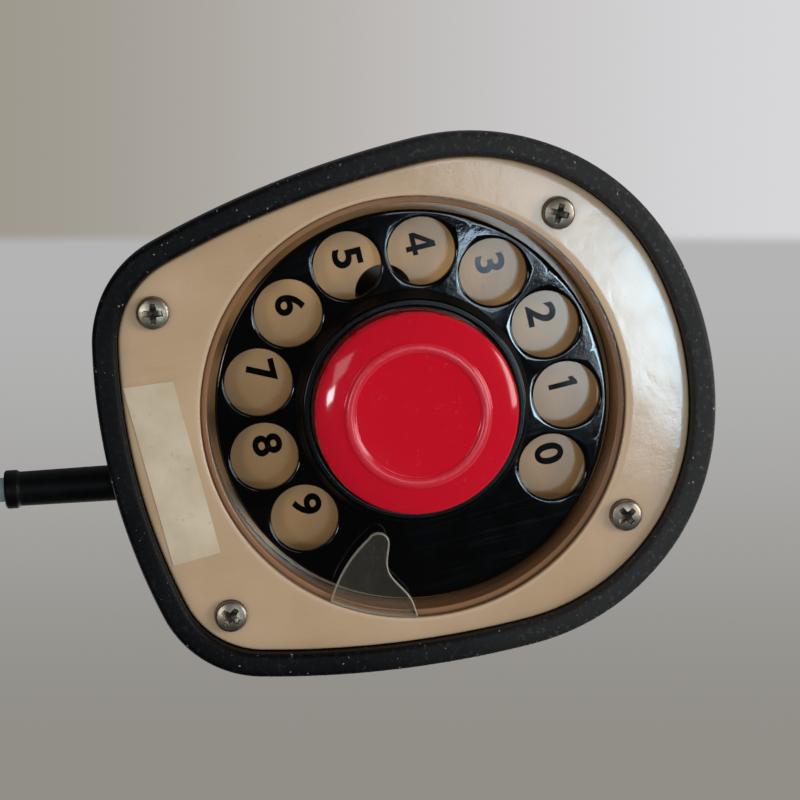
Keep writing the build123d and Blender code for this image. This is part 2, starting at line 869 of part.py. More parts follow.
def make_worm():
    lead = worm_starts * math.pi * worm_wheel_module
    with BuildPart() as worm:
        with BuildSketch():
            Circle(worm_root_radius)
        extrude(amount=worm_length)
        for thread in range(worm_starts):
            with BuildLine(Plane.XY.offset(worm_thread_width)) as helix:
                Helix(lead, worm_length - 2 * worm_thread_width, worm_root_radius)
            with BuildSketch(Plane(origin=helix.line @ 0, x_dir=(1, 0, 0), z_dir=helix.line % 0)):
                with Locations((worm_thread_height / 2 - 0.1, 0)):
                    Rectangle(worm_thread_height + 0.2, worm_thread_width)
            ridge = sweep(path=helix.line, is_frenet=True, mode=Mode.PRIVATE)
            add(Rot(0, 0, 360 / worm_starts * thread) * ridge)
        with BuildSketch():
            Circle(governor_spindle_radius)
        extrude(amount=worm_length, mode=Mode.SUBTRACT)
    worm.part = worm_plane(pinion_x - worm_length / 2).location * worm.part
    keep(worm, "governor_worm")


def make_governor():
    near_ear = pinion_x - governor_ear_spread
    far_ear = pinion_x + governor_ear_spread
    half_ear = governor_ear_thickness / 2
    cup_start = near_ear - half_ear
    spindle_end = cup_start - governor_cup_depth + 1.0
    with BuildPart() as spindle:
        with BuildSketch(worm_plane(spindle_end)):
            Circle(governor_spindle_radius)
        extrude(amount=far_ear + half_ear + 1.0 - spindle_end)
    keep(spindle, "governor_spindle")
    with BuildPart() as cup:
        with BuildSketch(worm_plane(cup_start - governor_cup_depth)):
            Circle(governor_cup_radius)
        extrude(amount=governor_cup_depth)
        with BuildSketch(worm_plane(cup_start - governor_cup_depth)):
            Circle(governor_cup_radius - governor_cup_wall)
        extrude(amount=governor_cup_depth - governor_cup_wall, mode=Mode.SUBTRACT)
        with BuildSketch(worm_plane(cup_start - governor_cup_wall)):
            Circle(governor_spindle_radius + air)
        extrude(amount=governor_cup_wall, mode=Mode.SUBTRACT)
    keep(cup, "governor_cup")
    # two weights on a cross arm that fly out against the cup
    with BuildPart() as weights:
        with BuildSketch(worm_plane(spindle_end + 0.5)):
            Rectangle(2.4, 2 * governor_weight_orbit)
            with Locations((0, governor_weight_orbit), (0, -governor_weight_orbit)):
                Circle(governor_weight_radius)
            Circle(governor_spindle_radius + 0.8)
            Circle(governor_spindle_radius, mode=Mode.SUBTRACT)
        extrude(amount=governor_weight_length)
    keep(weights, "governor_weights")
    with BuildPart() as bracket:
        base_y = worm_y - governor_ear_width / 2
        with BuildSketch(Plane.XY.offset(frame_top)):
            with Locations((pinion_x, base_y - 1.0)):
                Rectangle(
                    2 * (governor_ear_spread + half_ear),
                    governor_ear_width + 1.0,
                    align=(Align.CENTER, Align.MIN),
                )
        extrude(amount=governor_ear_thickness)
        for ear in (near_ear, far_ear):
            with BuildSketch(worm_plane(ear - half_ear)):
                # the sketch's +X is +Y and its +Y is +Z
                with Locations((0, governor_ear_rise)):
                    Rectangle(
                        governor_ear_width,
                        worm_z + governor_ear_rise - frame_top,
                        align=(Align.CENTER, Align.MAX),
                    )
                Circle(governor_spindle_radius + running, mode=Mode.SUBTRACT)
            extrude(amount=governor_ear_thickness)
    keep(bracket, "governor_bracket")


# ---------------------------------------------------------------- top plate
def pillar_places():
    return [
        (pillar_pitch_radius * math.cos(math.radians(angle)), pillar_pitch_radius * math.sin(math.radians(angle)))
        for angle in pillar_angles
    ]


def make_top_plate():
    with BuildPart() as top_plate:
        with BuildSketch(Plane.XY.offset(top_plate_z)):
            with Locations(*pillar_places(), (pinion_x, pinion_y)):
                Circle(top_plate_margin)
            make_hull()
            Circle(guide_radius + seat, mode=Mode.SUBTRACT)
            with Locations((pinion_x, pinion_y)):
                Circle(spindle_radius + running, mode=Mode.SUBTRACT)
            with Locations(*pillar_places()):
                Circle(pillar_screw_radius + seat / 2, mode=Mode.SUBTRACT)
        extrude(amount=top_plate_thickness)
    keep(top_plate, "top_plate")
    with BuildPart() as pillars:
        with BuildSketch(Plane.XY.offset(frame_top)):
            with Locations(*pillar_places()):
                Circle(pillar_radius)
                Circle(pillar_screw_radius + seat / 2, mode=Mode.SUBTRACT)
        extrude(amount=top_plate_z - frame_top)
    keep(pillars, "pillars")


def make_stem_guide():
    guide = turned(
        (stem_radius + running, top_plate_z - guide_drop),
        (guide_radius, top_plate_z - guide_drop),
        (guide_radius, top_plate_top),
        (guide_flange_radius, top_plate_top),
        (guide_flange_radius, guide_top),
        (stem_radius + running, guide_top),
    )
    keep(guide, "stem_guide")


# ---------------------------------------------------------------- plunger
def make_button():
    ring_face = button_face - button_ring_height
    inside = button_face + button_wall
    boss_top = skirt_end
    button = turned(
        (0, button_face),
        (button_ring_inner, button_face),
        (button_ring_inner + 0.4, ring_face),
        (button_ring_outer - 0.4, ring_face),
        (button_ring_outer, button_face),
        (button_radius - button_bevel, button_face + 0.5),
        (button_radius - 0.6, button_face + 2.0),
        (button_radius, button_face + 3.2),
        (button_radius, skirt_end),
        (button_radius - button_wall, skirt_end),
        (button_radius - button_wall, inside + 1.2),
        (button_radius - button_wall - 1.2, inside),
        (button_boss_radius, inside),
        (button_boss_radius, boss_top),
        (stem_radius + running, boss_top),
        (stem_radius + running, boss_top - stem_sink),
        (0, boss_top - stem_sink),
    )
    keep(button, "plunger_button")


def make_stem():
    groove = guide_top + air
    shoulder = groove + 2 * clip_thickness
    with BuildPart() as stem:
        with BuildSketch(Plane.XZ):
            with BuildLine():
                Polyline(
                    (0, stem_top),
                    (0, skirt_end - stem_sink),
                    (stem_radius, skirt_end - stem_sink),
                    (stem_radius, groove),
                    (stem_clip_groove, groove),
                    (stem_clip_groove, groove + clip_thickness),
                    (stem_radius, groove + clip_thickness),
                    (stem_radius, shoulder),
                    (stem_nose_radius, stem_top - stem_nose_radius),
                )
                CenterArc((0, stem_top - stem_nose_radius), stem_nose_radius, 0, 90)
            make_face()
        revolve(axis=Axis.Z)
    keep(stem, "plunger_stem")


# The return spring, between the button's inside and the hub's flange.
def make_plunger_spring():
    low = button_face + button_wall + plunger_spring_wire + 0.1
    high = wheel_back - plunger_spring_wire - 0.1
    with BuildPart() as spring:
        with BuildLine(Plane.XY.offset(low)) as path:
            Helix((high - low) / plunger_spring_turns, high - low, plunger_spring_radius)
        with BuildSketch(Plane(origin=path.line @ 0, z_dir=path.line % 0)):
            RegularPolygon(plunger_spring_wire, 6)
        sweep(path=path.line, is_frenet=True)
    keep(spring, "plunger_spring")


# ---------------------------------------------------------------- hook switch
# The lever's side view lies in XZ; its pin runs along Y.
def side_plane(y):
    return Plane(origin=(lever_pivot_x, y, pivot_z), x_dir=(1, 0, 0), z_dir=(0, -1, 0))


def make_hook_lever():
    with BuildPart() as lever:
        with BuildSketch(side_plane(lever_width / 2)):
            with Locations((-lever_tail, -lever_pivot_rise)):
                Rectangle(lever_tail + lever_reach, lever_thickness, align=(Align.MIN, Align.MIN))
            Circle(lever_boss_radius)
            Circle(lever_pin_radius + running, mode=Mode.SUBTRACT)
        extrude(amount=lever_width)
    keep(lever, "hook_lever")
    ear_y = lever_width / 2 + air
    with BuildPart() as pin:
        with BuildSketch(side_plane(ear_y + switch_ear_thickness + 0.6)):
            Circle(lever_pin_radius)
        extrude(amount=2 * (ear_y + switch_ear_thickness + 0.6))
    keep(pin, "lever_pin")
    foot = switch_ear_thickness
    with BuildPart() as bracket:
        with BuildSketch(Plane.XY.offset(top_plate_top)):
            with Locations((lever_pivot_x, 0)):
                Rectangle(7.0, 2 * (ear_y + switch_ear_thickness))
        extrude(amount=foot)
        for start in (-ear_y, ear_y + switch_ear_thickness):
            with BuildSketch(side_plane(start)):
                with Locations((0, lever_pin_radius + 1.4)):
                    Rectangle(
                        6.0,
                        pivot_z + lever_pin_radius + 1.4 - top_plate_top,
                        align=(Align.CENTER, Align.MAX),
                    )
                Circle(lever_pin_radius + seat / 2, mode=Mode.SUBTRACT)
            extrude(amount=switch_ear_thickness)
    keep(bracket, "switch_bracket")


# A stack of leaf springs between insulators: length along the plane's +X, the
# stack rising along its +Z. The leaves and the block are two nodes.
def make_leaf_stack(name, plane, count, length):
    with BuildPart() as leaves:
        for leaf in range(count):
            with BuildSketch(plane.offset(leaf_pitch * (leaf + 1) - leaf_thickness)):
                Rectangle(length, leaf_width, align=(Align.MIN, Align.CENTER))
            extrude(amount=leaf_thickness)
    keep(leaves, name + "_leaves")
    with BuildPart() as block:
        for layer in range(count + 1):
            with BuildSketch(plane.offset(leaf_pitch * layer)):
                Rectangle(leaf_block, leaf_width + 2.0, align=(Align.MIN, Align.CENTER))
            extrude(amount=leaf_pitch - leaf_thickness)
    keep(block, name + "_block")


def make_contacts():
    # tangent to the pulse cam, its last leaf just clear of the lobes
    leaf_count = 2
    stack = leaf_pitch * leaf_count + air
    cam_middle = cam_z + cam_thickness / 2
    pulse = Plane(
        origin=(-(cam_radius + stack), -pulse_leaf_length + 2.0, cam_middle),
        x_dir=(0, 1, 0),
        z_dir=(1, 0, 0),
    )
    make_leaf_stack("pulse", pulse, leaf_count, pulse_leaf_length)
    # the post that lifts the pulse stack off the dial frame
    post_x = -(cam_radius + stack) + stack / 2
    with BuildPart() as post:
        with BuildSketch(Plane.XY.offset(frame_top)):
            with Locations((post_x, -pulse_leaf_length + 2.0 + leaf_block / 2)):
                Rectangle(stack, leaf_block)
        extrude(amount=cam_middle - leaf_width / 2 - 1.0 - frame_top)
    keep(post, "pulse_post")
    # under the lever's tail, clear of it when the plunger is home
    hook = Plane(
        origin=(lever_pivot_x - lever_tail + 2.5, hook_leaf_start, top_plate_top),
        x_dir=(0, -1, 0),
        z_dir=(0, 0, 1),
    )
    make_leaf_stack("hook", hook, leaf_count, hook_leaf_length)


# ---------------------------------------------------------------- neck
# A plain block by size, centred on x and z, its front at y.
def block(name, size, y, z):
    with BuildPart() as made:
        with BuildSketch(Plane((0, y, z), x_dir=(1, 0, 0), z_dir=(0, 1, 0))):
            RectangleRounded(size[0], size[2], 1.0)
        extrude(amount=size[1])
    keep(made, name)


def make_strap():
    with BuildPart() as strap:
        with BuildSketch(Plane.YZ.offset(-strap_width / 2)):
            with Locations((strap_y, top_plate_top)):
                Rectangle(strap_thickness, strap_top - top_plate_top, align=(Align.MIN, Align.MIN))
            with Locations((strap_y + strap_thickness, top_plate_top)):
                Rectangle(strap_foot + strap_thickness, strap_thickness, align=(Align.MAX, Align.MIN))
        extrude(amount=strap_width)
        fillet(strap.edges().filter_by(Axis.Y).group_by(Axis.Z)[-1], 5.0)
    keep(strap, "neck_strap")


def make_induction_coil():
    depth = core_size[1]
    winding_depth = winding_size[1]
    back = strap_y - seat
    middle = back - winding_depth / 2
    plane = Plane((0, middle - depth / 2, core_z), x_dir=(1, 0, 0), z_dir=(0, 1, 0))
    window = (core_size[0] - 3 * core_leg) / 2
    with BuildPart() as core:
        with BuildSketch(plane):
            Rectangle(core_size[0], core_size[2])
            with Locations((-(core_leg + window) / 2, 0), ((core_leg + window) / 2, 0)):
                Rectangle(window, core_size[2] - 2 * core_leg, mode=Mode.SUBTRACT)
        extrude(amount=depth)
    keep(core, "coil_core")
    height = core_size[2] - 2 * core_leg - 2 * seat
    with BuildPart() as winding:
        with BuildSketch(Plane.XY.offset(core_z - height / 2)):
            with Locations((0, middle)):
                RectangleRounded(core_leg + 2 * window - 2 * seat, winding_depth, 2.0)
                Rectangle(core_leg + 2 * seat, depth + 2 * seat, mode=Mode.SUBTRACT)
        extrude(amount=height)
    keep(winding, "coil_winding")


def make_terminals():
    face = strap_y - seat - board_size[1]
    block("terminal_board", board_size, face, board_z)
    with BuildPart() as terminals:
        with BuildSketch(Plane((0, face, board_z), x_dir=(1, 0, 0), z_dir=(0, -1, 0))):
            with GridLocations(*terminal_spacing, 2, 3):
                RegularPolygon(terminal_radius, 6)
        extrude(amount=terminal_height)
    keep(terminals, "terminal_screws")


# ---------------------------------------------------------------- cord
def make_boot():
    with BuildPart() as boot:
        with BuildSketch(boot_plane(-boot_inner_reach)):
            Circle(boot_radius)
        extrude(amount=boot_inner_reach + boot_reach)
        with BuildSketch(boot_plane(-boot_inner_reach)):
            Circle(boot_flange_radius)
        extrude(amount=boot_flange_thickness)
        with BuildSketch(boot_plane(boot_reach - boot_bead_length)):
            Circle(boot_bead_radius)
        extrude(amount=boot_bead_length)
        fillet(boot.edges().filter_by(GeomType.CIRCLE).sort_by(Axis.Y)[-1], 0.6)
    keep(boot, "cord_boot")


# Straight runs joined by arcs as large as the runs allow; prints each radius.
def cord_path(points):
    corners = [Vector(*point) for point in points]
    radii = []
    for before, corner, after in zip(corners, corners[1:], corners[2:]):
        run_in, run_out = corner - before, after - corner
        turn = math.radians(run_in.get_angle(run_out))
        shorter = min(run_in.length, run_out.length)
        radii.append(0.45 * shorter / math.tan(turn / 2))
    print("cord arc radii", [round(radius, 1) for radius in radii])
    with BuildLine() as path:
        FilletPolyline(*corners, radius=radii)
    return path.wire()


def make_cord():
    first = [boot_plane(boot_reach + along).origin for along in (0, cord_first_run)]
    path = cord_path([*first, *cord_route])
    cord_radius = cord_diameter / 2
    with BuildPart() as tube:
        with BuildSketch(Plane(origin=path @ 0, z_dir=path % 0)):
            Circle(cord_radius)
        sweep(path=path)
    keep(tube, "cord_tube")
    print("cord tube", round(path.length, 1), "long, volume over section times length",
          round(tube.part.volume / (math.pi * cord_radius**2 * path.length), 4))
    # the coil lies flat beside the last run, wound clockwise from above
    end, heading = path @ 1, path % 1
    touch = end + heading * cord_coil_lead
    flat = Vector(heading.X, heading.Y, 0).normalized()
    winding_radius = cord_coil_outer - cord_radius
    centre = Vector(touch.X + flat.Y * winding_radius, touch.Y - flat.X * winding_radius, 0)
    tail = Plane(
        origin=(centre.X + winding_radius, centre.Y, plug_size[2] / 2),
        x_dir=(1, 0, 0),
        z_dir=(0, -1, 0),
    )
    with BuildPart() as coil:
        with BuildSketch(Plane((centre.X, centre.Y, 0))):
            Circle(cord_coil_outer)
            Circle(cord_coil_inner, mode=Mode.SUBTRACT)
        extrude(amount=cord_coil_height)
        chamfer(coil.edges().filter_by(GeomType.CIRCLE), 3.0)
        with BuildSketch(Plane(origin=end, z_dir=heading)):
            Circle(cord_radius)
        extrude(amount=cord_coil_lead)
        with BuildSketch(tail):
            Circle(cord_radius)
        extrude(amount=cord_coil_tail)
    keep(coil, "cord_coil")
    make_plug(tail.offset(cord_coil_tail))


# The plug lies flat; plane is at its sleeve's mouth, +Z towards the pins.
def make_plug(plane):
    width, length, height = plug_size
    with BuildPart() as body:
        with BuildSketch(plane):
            Circle(plug_sleeve_radius)
        extrude(amount=plug_sleeve_length)
        with BuildSketch(plane.offset(plug_sleeve_length)):
            RectangleRounded(width, height, 5.0)
        extrude(amount=length)
    keep(body, "plug_body")
    with BuildPart() as pins:
        with BuildSketch(plane.offset(plug_sleeve_length + length)):
            with GridLocations(plug_pin_spacing, 1, 2, 1):
                Circle(plug_pin_radius)
        extrude(amount=plug_pin_length)
    keep(pins, "plug_pins")


os.makedirs("parts", exist_ok=True)
make_housing()
make_ear_cap()
make_gasket()
make_receiver()
make_transmitter()
make_foot_ring()
make_base_plate()
make_screws(
    "base_screws", screw_places, plate_face, 1,
    base_screw_shank, base_screw_length, base_screw_head, base_screw_head_height,
)
make_number_plate()
make_finger_wheel()
make_collar()
make_finger_stop()
make_hub()
make_dial_frame()
make_screws(
    "frame_screws", lug_places(), frame_top, -1,
    lug_screw_radius, lug_screw_length, lug_screw_head, lug_screw_head_height,
)
make_bush()
make_spring_cup()
make_mainspring()
make_drive_gear()
make_cam()
make_clip("hub_clip", clip_groove_radius, clip_radius, clip_z + seat / 2, 8.0)
make_pinion()
make_worm()
make_governor()
make_top_plate()
make_screws(
    "pillar_screws", pillar_places(), top_plate_top, -1,
    pillar_screw_radius, 8.0, pillar_screw_head, pillar_screw_head_height,
)
make_stem_guide()
make_button()
make_stem()
make_clip("stem_clip", stem_clip_groove, stem_clip_radius, guide_top + air + seat / 2, 5.0)
make_plunger_spring()
make_hook_lever()
make_contacts()
make_strap()
make_induction_coil()
block("capacitor", capacitor_size, strap_y + strap_thickness + seat, capacitor_z)
make_terminals()
make_boot()
make_cord()
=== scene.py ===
# A one-piece upright rotary telephone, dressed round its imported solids.
# Metres throughout, +Z up, -Y the mouthpiece side, +Y the cord side.
import json
import math

import bmesh
import bpy
import numpy as np
from mathutils import Matrix, Vector


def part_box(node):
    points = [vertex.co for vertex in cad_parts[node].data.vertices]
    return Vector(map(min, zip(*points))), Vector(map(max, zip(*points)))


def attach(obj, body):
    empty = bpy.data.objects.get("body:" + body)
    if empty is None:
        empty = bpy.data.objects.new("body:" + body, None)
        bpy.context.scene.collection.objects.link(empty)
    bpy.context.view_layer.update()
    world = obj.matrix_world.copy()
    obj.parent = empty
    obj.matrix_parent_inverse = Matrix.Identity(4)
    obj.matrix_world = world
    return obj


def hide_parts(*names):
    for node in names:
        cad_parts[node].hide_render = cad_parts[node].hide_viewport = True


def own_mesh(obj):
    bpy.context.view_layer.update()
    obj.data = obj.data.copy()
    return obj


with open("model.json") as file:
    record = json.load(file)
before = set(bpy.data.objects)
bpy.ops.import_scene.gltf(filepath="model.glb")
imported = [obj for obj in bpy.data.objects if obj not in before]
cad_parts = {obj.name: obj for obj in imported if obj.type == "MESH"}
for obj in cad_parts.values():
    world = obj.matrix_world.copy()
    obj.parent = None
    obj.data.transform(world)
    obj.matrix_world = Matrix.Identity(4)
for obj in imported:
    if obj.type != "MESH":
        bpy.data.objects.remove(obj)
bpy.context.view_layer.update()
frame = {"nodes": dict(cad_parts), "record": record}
scene = bpy.context.scene
mm = 0.001
print("frame loaded with", len(frame["nodes"]), "nodes")


# shader maths
def srgb(red, green, blue):
    def linear(value):
        value /= 255
        return value / 12.92 if value <= 0.04045 else ((value + 0.055) / 1.055) ** 2.4

    return (linear(red), linear(green), linear(blue), 1.0)


class Field:  # a socket that adds and multiplies like a number
    def __init__(self, surface, socket):
        self.surface = surface
        self.socket = socket

    def maths(self, operation, *others):
        inputs = dict(enumerate((self, *others)))
        return self.surface.node("ShaderNodeMath", {"operation": operation}, inputs)

    def __add__(self, other):
        return self.maths("ADD", other)

    def __sub__(self, other):
        return self.maths("SUBTRACT", other)

    def __rsub__(self, other):  # other less self
        return self.maths("MULTIPLY_ADD", -1, other)

    def __mul__(self, other):
        return self.maths("MULTIPLY", other)

    def __pow__(self, other):
        return self.maths("POWER", other)

    def __abs__(self):
        return self.maths("ABSOLUTE")

    __radd__ = __add__
    __rmul__ = __mul__

    def above(self, low, high):  # 0 below low, 1 above high, smooth between
        inputs = {"Value": self, "From Min": low, "From Max": high}
        settings = {"interpolation_type": "SMOOTHSTEP"}
        return self.surface.node("ShaderNodeMapRange", settings, inputs)

    def below(self, low, high):
        return 1 - self.above(low, high)

    def band(self, middle, half, soft):  # 1 within half of the middle
        return abs(self - middle).below(half, half + soft)


def between(low, high, share):  # low at a share of 0, high at 1; numbers or fields
    return share * (high - low) + low


class Surface:  # one material or world and its nodes
    def __init__(self, name, owner=None):
        self.owner = owner or bpy.data.materials.new(name)
        self.owner.use_nodes = True
        self.tree = self.owner.node_tree
        self.tree.nodes.clear()

    def feed(self, socket, value):
        if isinstance(value, Field):
            self.tree.links.new(value.socket, socket)
        else:
            socket.default_value = value

    def node(self, kind, settings=None, inputs=None, out=0):
        node = self.tree.nodes.new(kind)
        for name, value in (settings or {}).items():
            setattr(node, name, value)
        for name, value in (inputs or {}).items():
            self.feed(node.inputs[name], value)
        return Field(self, node.outputs[out])

    def place(self, stretch=(1, 1, 1), turn=0.0):  # the turn is about Z, in radians
        coords = self.node("ShaderNodeTexCoord", out=3)
        inputs = {"Vector": coords, "Rotation": (0, 0, turn), "Scale": stretch}
        return self.node("ShaderNodeMapping", None, inputs)

    def noise(self, scale, detail=2.0, rough=0.5, where=None, bend=0.0):
        inputs = {
            "Vector": where or self.place(),
            "Scale": scale,
            "Detail": detail,
            "Roughness": rough,
            "Distortion": bend,
        }
        return self.node("ShaderNodeTexNoise", None, inputs)

    def parts(self):  # x, y and z of the place
        split = self.tree.nodes.new("ShaderNodeSeparateXYZ")
        self.feed(split.inputs[0], self.place())
        return [Field(self, output) for output in split.outputs]

    def radius(self):  # distance from the dial's axis
        x, y, _ = self.parts()
        return (x * x + y * y) ** 0.5

    def normal(self):
        return self.node("ShaderNodeNewGeometry", out=1)

    def dot(self, vector, direction):
        settings = {"operation": "DOT_PRODUCT"}
        return self.node("ShaderNodeVectorMath", settings, {0: vector, 1: tuple(direction)}, out=1)

    def mix(self, first, second, factor):
        inputs = {0: factor, 6: first, 7: second}
        return self.node("ShaderNodeMix", {"data_type": "RGBA"}, inputs, out=2)

    def layered(self, colour, *coats):  # each coat is a colour and how much of it shows
        colour = srgb(*colour)
        for coat, share in coats:
            colour = self.mix(colour, srgb(*coat), share)
        return colour

    def bump(self, height, strength, distance):
        inputs = {"Height": height, "Strength": strength, "Distance": distance}
        return self.node("ShaderNodeBump", None, inputs)

    def scratches(self, scale, turn, width=0.02):  # thin long marks across one way
        lines = self.noise(scale, 2, 0.6, self.place((1, 0.02, 1), turn), 0.6)
        patches = self.noise(60, 2, 0.5).above(0.5, 0.62)
        return lines.band(0.5, 0.0, width) * patches

    def finish(self, **sockets):
        names = {name.replace("_", " "): value for name, value in sockets.items()}
        return self.shown(self.node("ShaderNodeBsdfPrincipled", None, names))

    def shown(self, shader, kind="ShaderNodeOutputMaterial"):
        output = self.tree.nodes.new(kind)
        self.tree.links.new(shader.socket, output.inputs["Surface"])
        return self.owner


# mesh helpers
weldWithin, sliverWithin = 2e-6, 1e-7
arcSteps = 5  # to each rounded corner of a profile


def linked(name, data):
    piece = bpy.data.objects.new(name, data)
    scene.collection.objects.link(piece)
    return piece


def build(name, grids, material, body, replaced=(), sharp=40.0, polygons=()):
    # grids are arrays of rows by columns by xyz; each becomes a sheet of quads
    points, faces, start = [], [], 0
    for grid in grids:
        rows, columns = grid.shape[:2]
        points.append(grid.reshape(-1, 3))
        row, column = np.mgrid[0 : rows - 1, 0 : columns - 1]
        corner = start + row * columns + column
        quads = np.stack([corner, corner + 1, corner + columns + 1, corner + columns], -1)
        faces += quads.reshape(-1, 4).tolist()
        start += rows * columns
    for outline in polygons:
        points.append(outline)
        faces.append(list(range(start, start + len(outline))))
        start += len(outline)
    mesh = bpy.data.meshes.new(name)
    mesh.from_pydata(np.concatenate(points).tolist(), [], faces)
    work = bmesh.new()
    work.from_mesh(mesh)
    bmesh.ops.remove_doubles(work, verts=work.verts, dist=weldWithin)
    bmesh.ops.dissolve_degenerate(work, edges=work.edges, dist=sliverWithin)
    bmesh.ops.recalc_face_normals(work, faces=work.faces)
    work.to_mesh(mesh)
    work.free()
    mesh.shade_smooth()
    mesh.set_sharp_from_angle(angle=math.radians(sharp))
    corners = np.empty(len(mesh.polygons), np.int32)
    mesh.polygons.foreach_get("loop_total", corners)
    mesh.polygons.foreach_set("use_smooth", corners < 5)  # flat end caps stay flat
    piece = linked(name, mesh)
    mesh.materials.append(material)
    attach(piece, body)
    if replaced:
        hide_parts(*replaced)
    return piece


def fullTurn(count):
    return np.linspace(0, 2 * math.pi, count + 1)


def ringLoop(radius, angles, height):
    # points at radii and angles, which broadcast together
    height = height + 0 * radius * angles
    return np.stack([radius * np.cos(angles), radius * np.sin(angles), height], -1)


def rounded(corners):
    # a line through (x, y, radius) corners, each rounded by its radius
    line = [np.array(corners[0][:2], float)]
    for before, here, after in zip(corners, corners[1:], corners[2:]):
        point = np.array(here[:2], float)
        if here[2] <= 0:
            line.append(point)
            continue
        first = np.array(before[:2], float) - point
        last = np.array(after[:2], float) - point
        first /= np.linalg.norm(first)
        last /= np.linalg.norm(last)
        half = math.acos(float(np.clip(first @ last, -1, 1))) / 2
        reach = here[2] / math.tan(half)
        middle = (first + last) / np.linalg.norm(first + last)
        centre = point + middle * here[2] / math.sin(half)
        start = point + first * reach - centre
        end = point + last * reach - centre
        turn = math.atan2(start[0] * end[1] - start[1] * end[0], start @ end)
        angles = math.atan2(start[1], start[0]) + turn * np.arange(arcSteps + 1) / arcSteps
        line.extend(centre + ringLoop(here[2], angles, 0)[:, :2])
    line.append(np.array(corners[-1][:2], float))
    return np.array(line)


def closed(grid):  # its first column again after its last
    return np.concatenate([grid, grid[:, :1]], 1)


def turned(profile, count=192):
    # each (radius, height) point of the profile carried round the Z axis
    return ringLoop(profile[:, :1], fullTurn(count), profile[:, 1:])


def placed(grid, origin, across, up, out):
    # a grid's x, y and z laid along three directions from an origin
    return np.array(origin) + grid @ np.array([across, up, out], float)


# foot outline: the five tangent arcs of the solids' own outline
outline = {
    "front": 56.3, "back": 57.4, "halfWidth": 48.9,
    "nose": 62.0, "shoulder": 44.0, "flank": 190.0, "corner": 21.0, "backArc": 120.0,
    "perArc": 28,
}


def outlineArcs():
    o = outline
    nose = np.array([0, o["nose"] - o["front"]])
    shoulderX = o["halfWidth"] - o["shoulder"]
    reach = o["nose"] - o["shoulder"]
    shoulder = np.array([shoulderX, nose[1] - math.sqrt(reach**2 - shoulderX**2)])
    flank = np.array([o["halfWidth"] - o["flank"], shoulder[1]])
    back = np.array([0, o["back"] - o["backArc"]])
    toFlank, toBack = o["flank"] - o["corner"], o["backArc"] - o["corner"]
    apart = back - flank
    span = np.linalg.norm(apart)
    along = (toFlank**2 - toBack**2 + span**2) / (2 * span)
    line = apart / span
    aside = math.sqrt(toFlank**2 - along**2)
    corner = flank + line * along + np.array([-line[1], line[0]]) * aside

    def bearing(start, end):
        return math.atan2(end[1] - start[1], end[0] - start[0])

    turns = [-math.pi / 2, bearing(nose, shoulder), 0, bearing(flank, corner),
             bearing(back, corner), math.pi / 2]
    radii = [o["nose"], o["shoulder"], o["flank"], o["corner"], o["backArc"]]
    arcs = zip([nose, shoulder, flank, corner, back], radii, turns, turns[1:])
    centres, sizes, angles = [], [], []
    for centre, radius, start, end in arcs:
        part = np.linspace(start, end, o["perArc"], endpoint=False)
        centres += [centre] * len(part)
        sizes += [radius] * len(part)
        angles += part.tolist()
    centres, sizes, angles = np.array(centres), np.array(sizes), np.array(angles)
    # the left half mirrors the right, walked back to the nose
    left = slice(None, None, -1)
    flip = np.array([-1, 1])
    centres = np.concatenate([centres, [back], (centres * flip)[left]])
    sizes = np.concatenate([sizes, [radii[-1]], sizes[left]])
    angles = np.concatenate([angles, [math.pi / 2], (math.pi - angles)[left]])
    return centres, sizes, angles


arcCentres, arcRadii, arcAngles = outlineArcs()


def rimGrid(profile):
    # each (inset, height) point of the profile carried round the foot outline
    inset, height = profile[:, :1], profile[:, 1:]
    x = arcCentres[:, 0] + (arcRadii - inset) * np.cos(arcAngles)
    y = arcCentres[:, 1] + (arcRadii - inset) * np.sin(arcAngles)
    return np.stack([x, y, height + 0 * x], -1) * mm


# camera
camera = {
    "at": (-0.07955, 0.02652, -0.41137),
    "right": (0.2292, -0.9683, -0.0994),
    "down": (0.9561, 0.2431, -0.1637),
    "lens": 102.5,
}


def posed(place, right, upward, backward):
    return Matrix.Translation(place) @ Matrix((right, upward, backward)).transposed().to_4x4()


view = linked("camera", bpy.data.cameras.new("camera"))
scene.camera = view
view.data.lens = camera["lens"]
view.data.sensor_width = 36.0
view.data.clip_start = 0.01
view.data.clip_end = 50
right = Vector(camera["right"]).normalized()
upward = -Vector(camera["down"])
upward = (upward - right * upward.dot(right)).normalized()
ahead = upward.cross(right)
view.matrix_world = posed(camera["at"], right, upward, -ahead)
print("camera placed")

# world: a pale room above, a dim one below, and a table's tone low in the camera's view
room = {
    "wallLeft": srgb(158, 152, 141), "wallRight": srgb(216, 215, 218), "spread": 0.2,
    "tableFar": srgb(180, 180, 180), "tableNear": srgb(146, 143, 137), "tableDepth": (-0.055, 0.15),
    "plain": srgb(214, 214, 211), "light": srgb(212, 216, 222), "horizon": 0.0702,
    "upper": 0.62, "lower": 0.75,
    "mirroredUpper": 0.7, "mirroredDim": 0.07, "mirroredLower": 0.02,
}
world = bpy.data.worlds.new("room")
scene.world = world
sky = Surface("room", world)


def towards(direction):
    return sky.dot(sky.node("ShaderNodeTexCoord", out=0), direction)


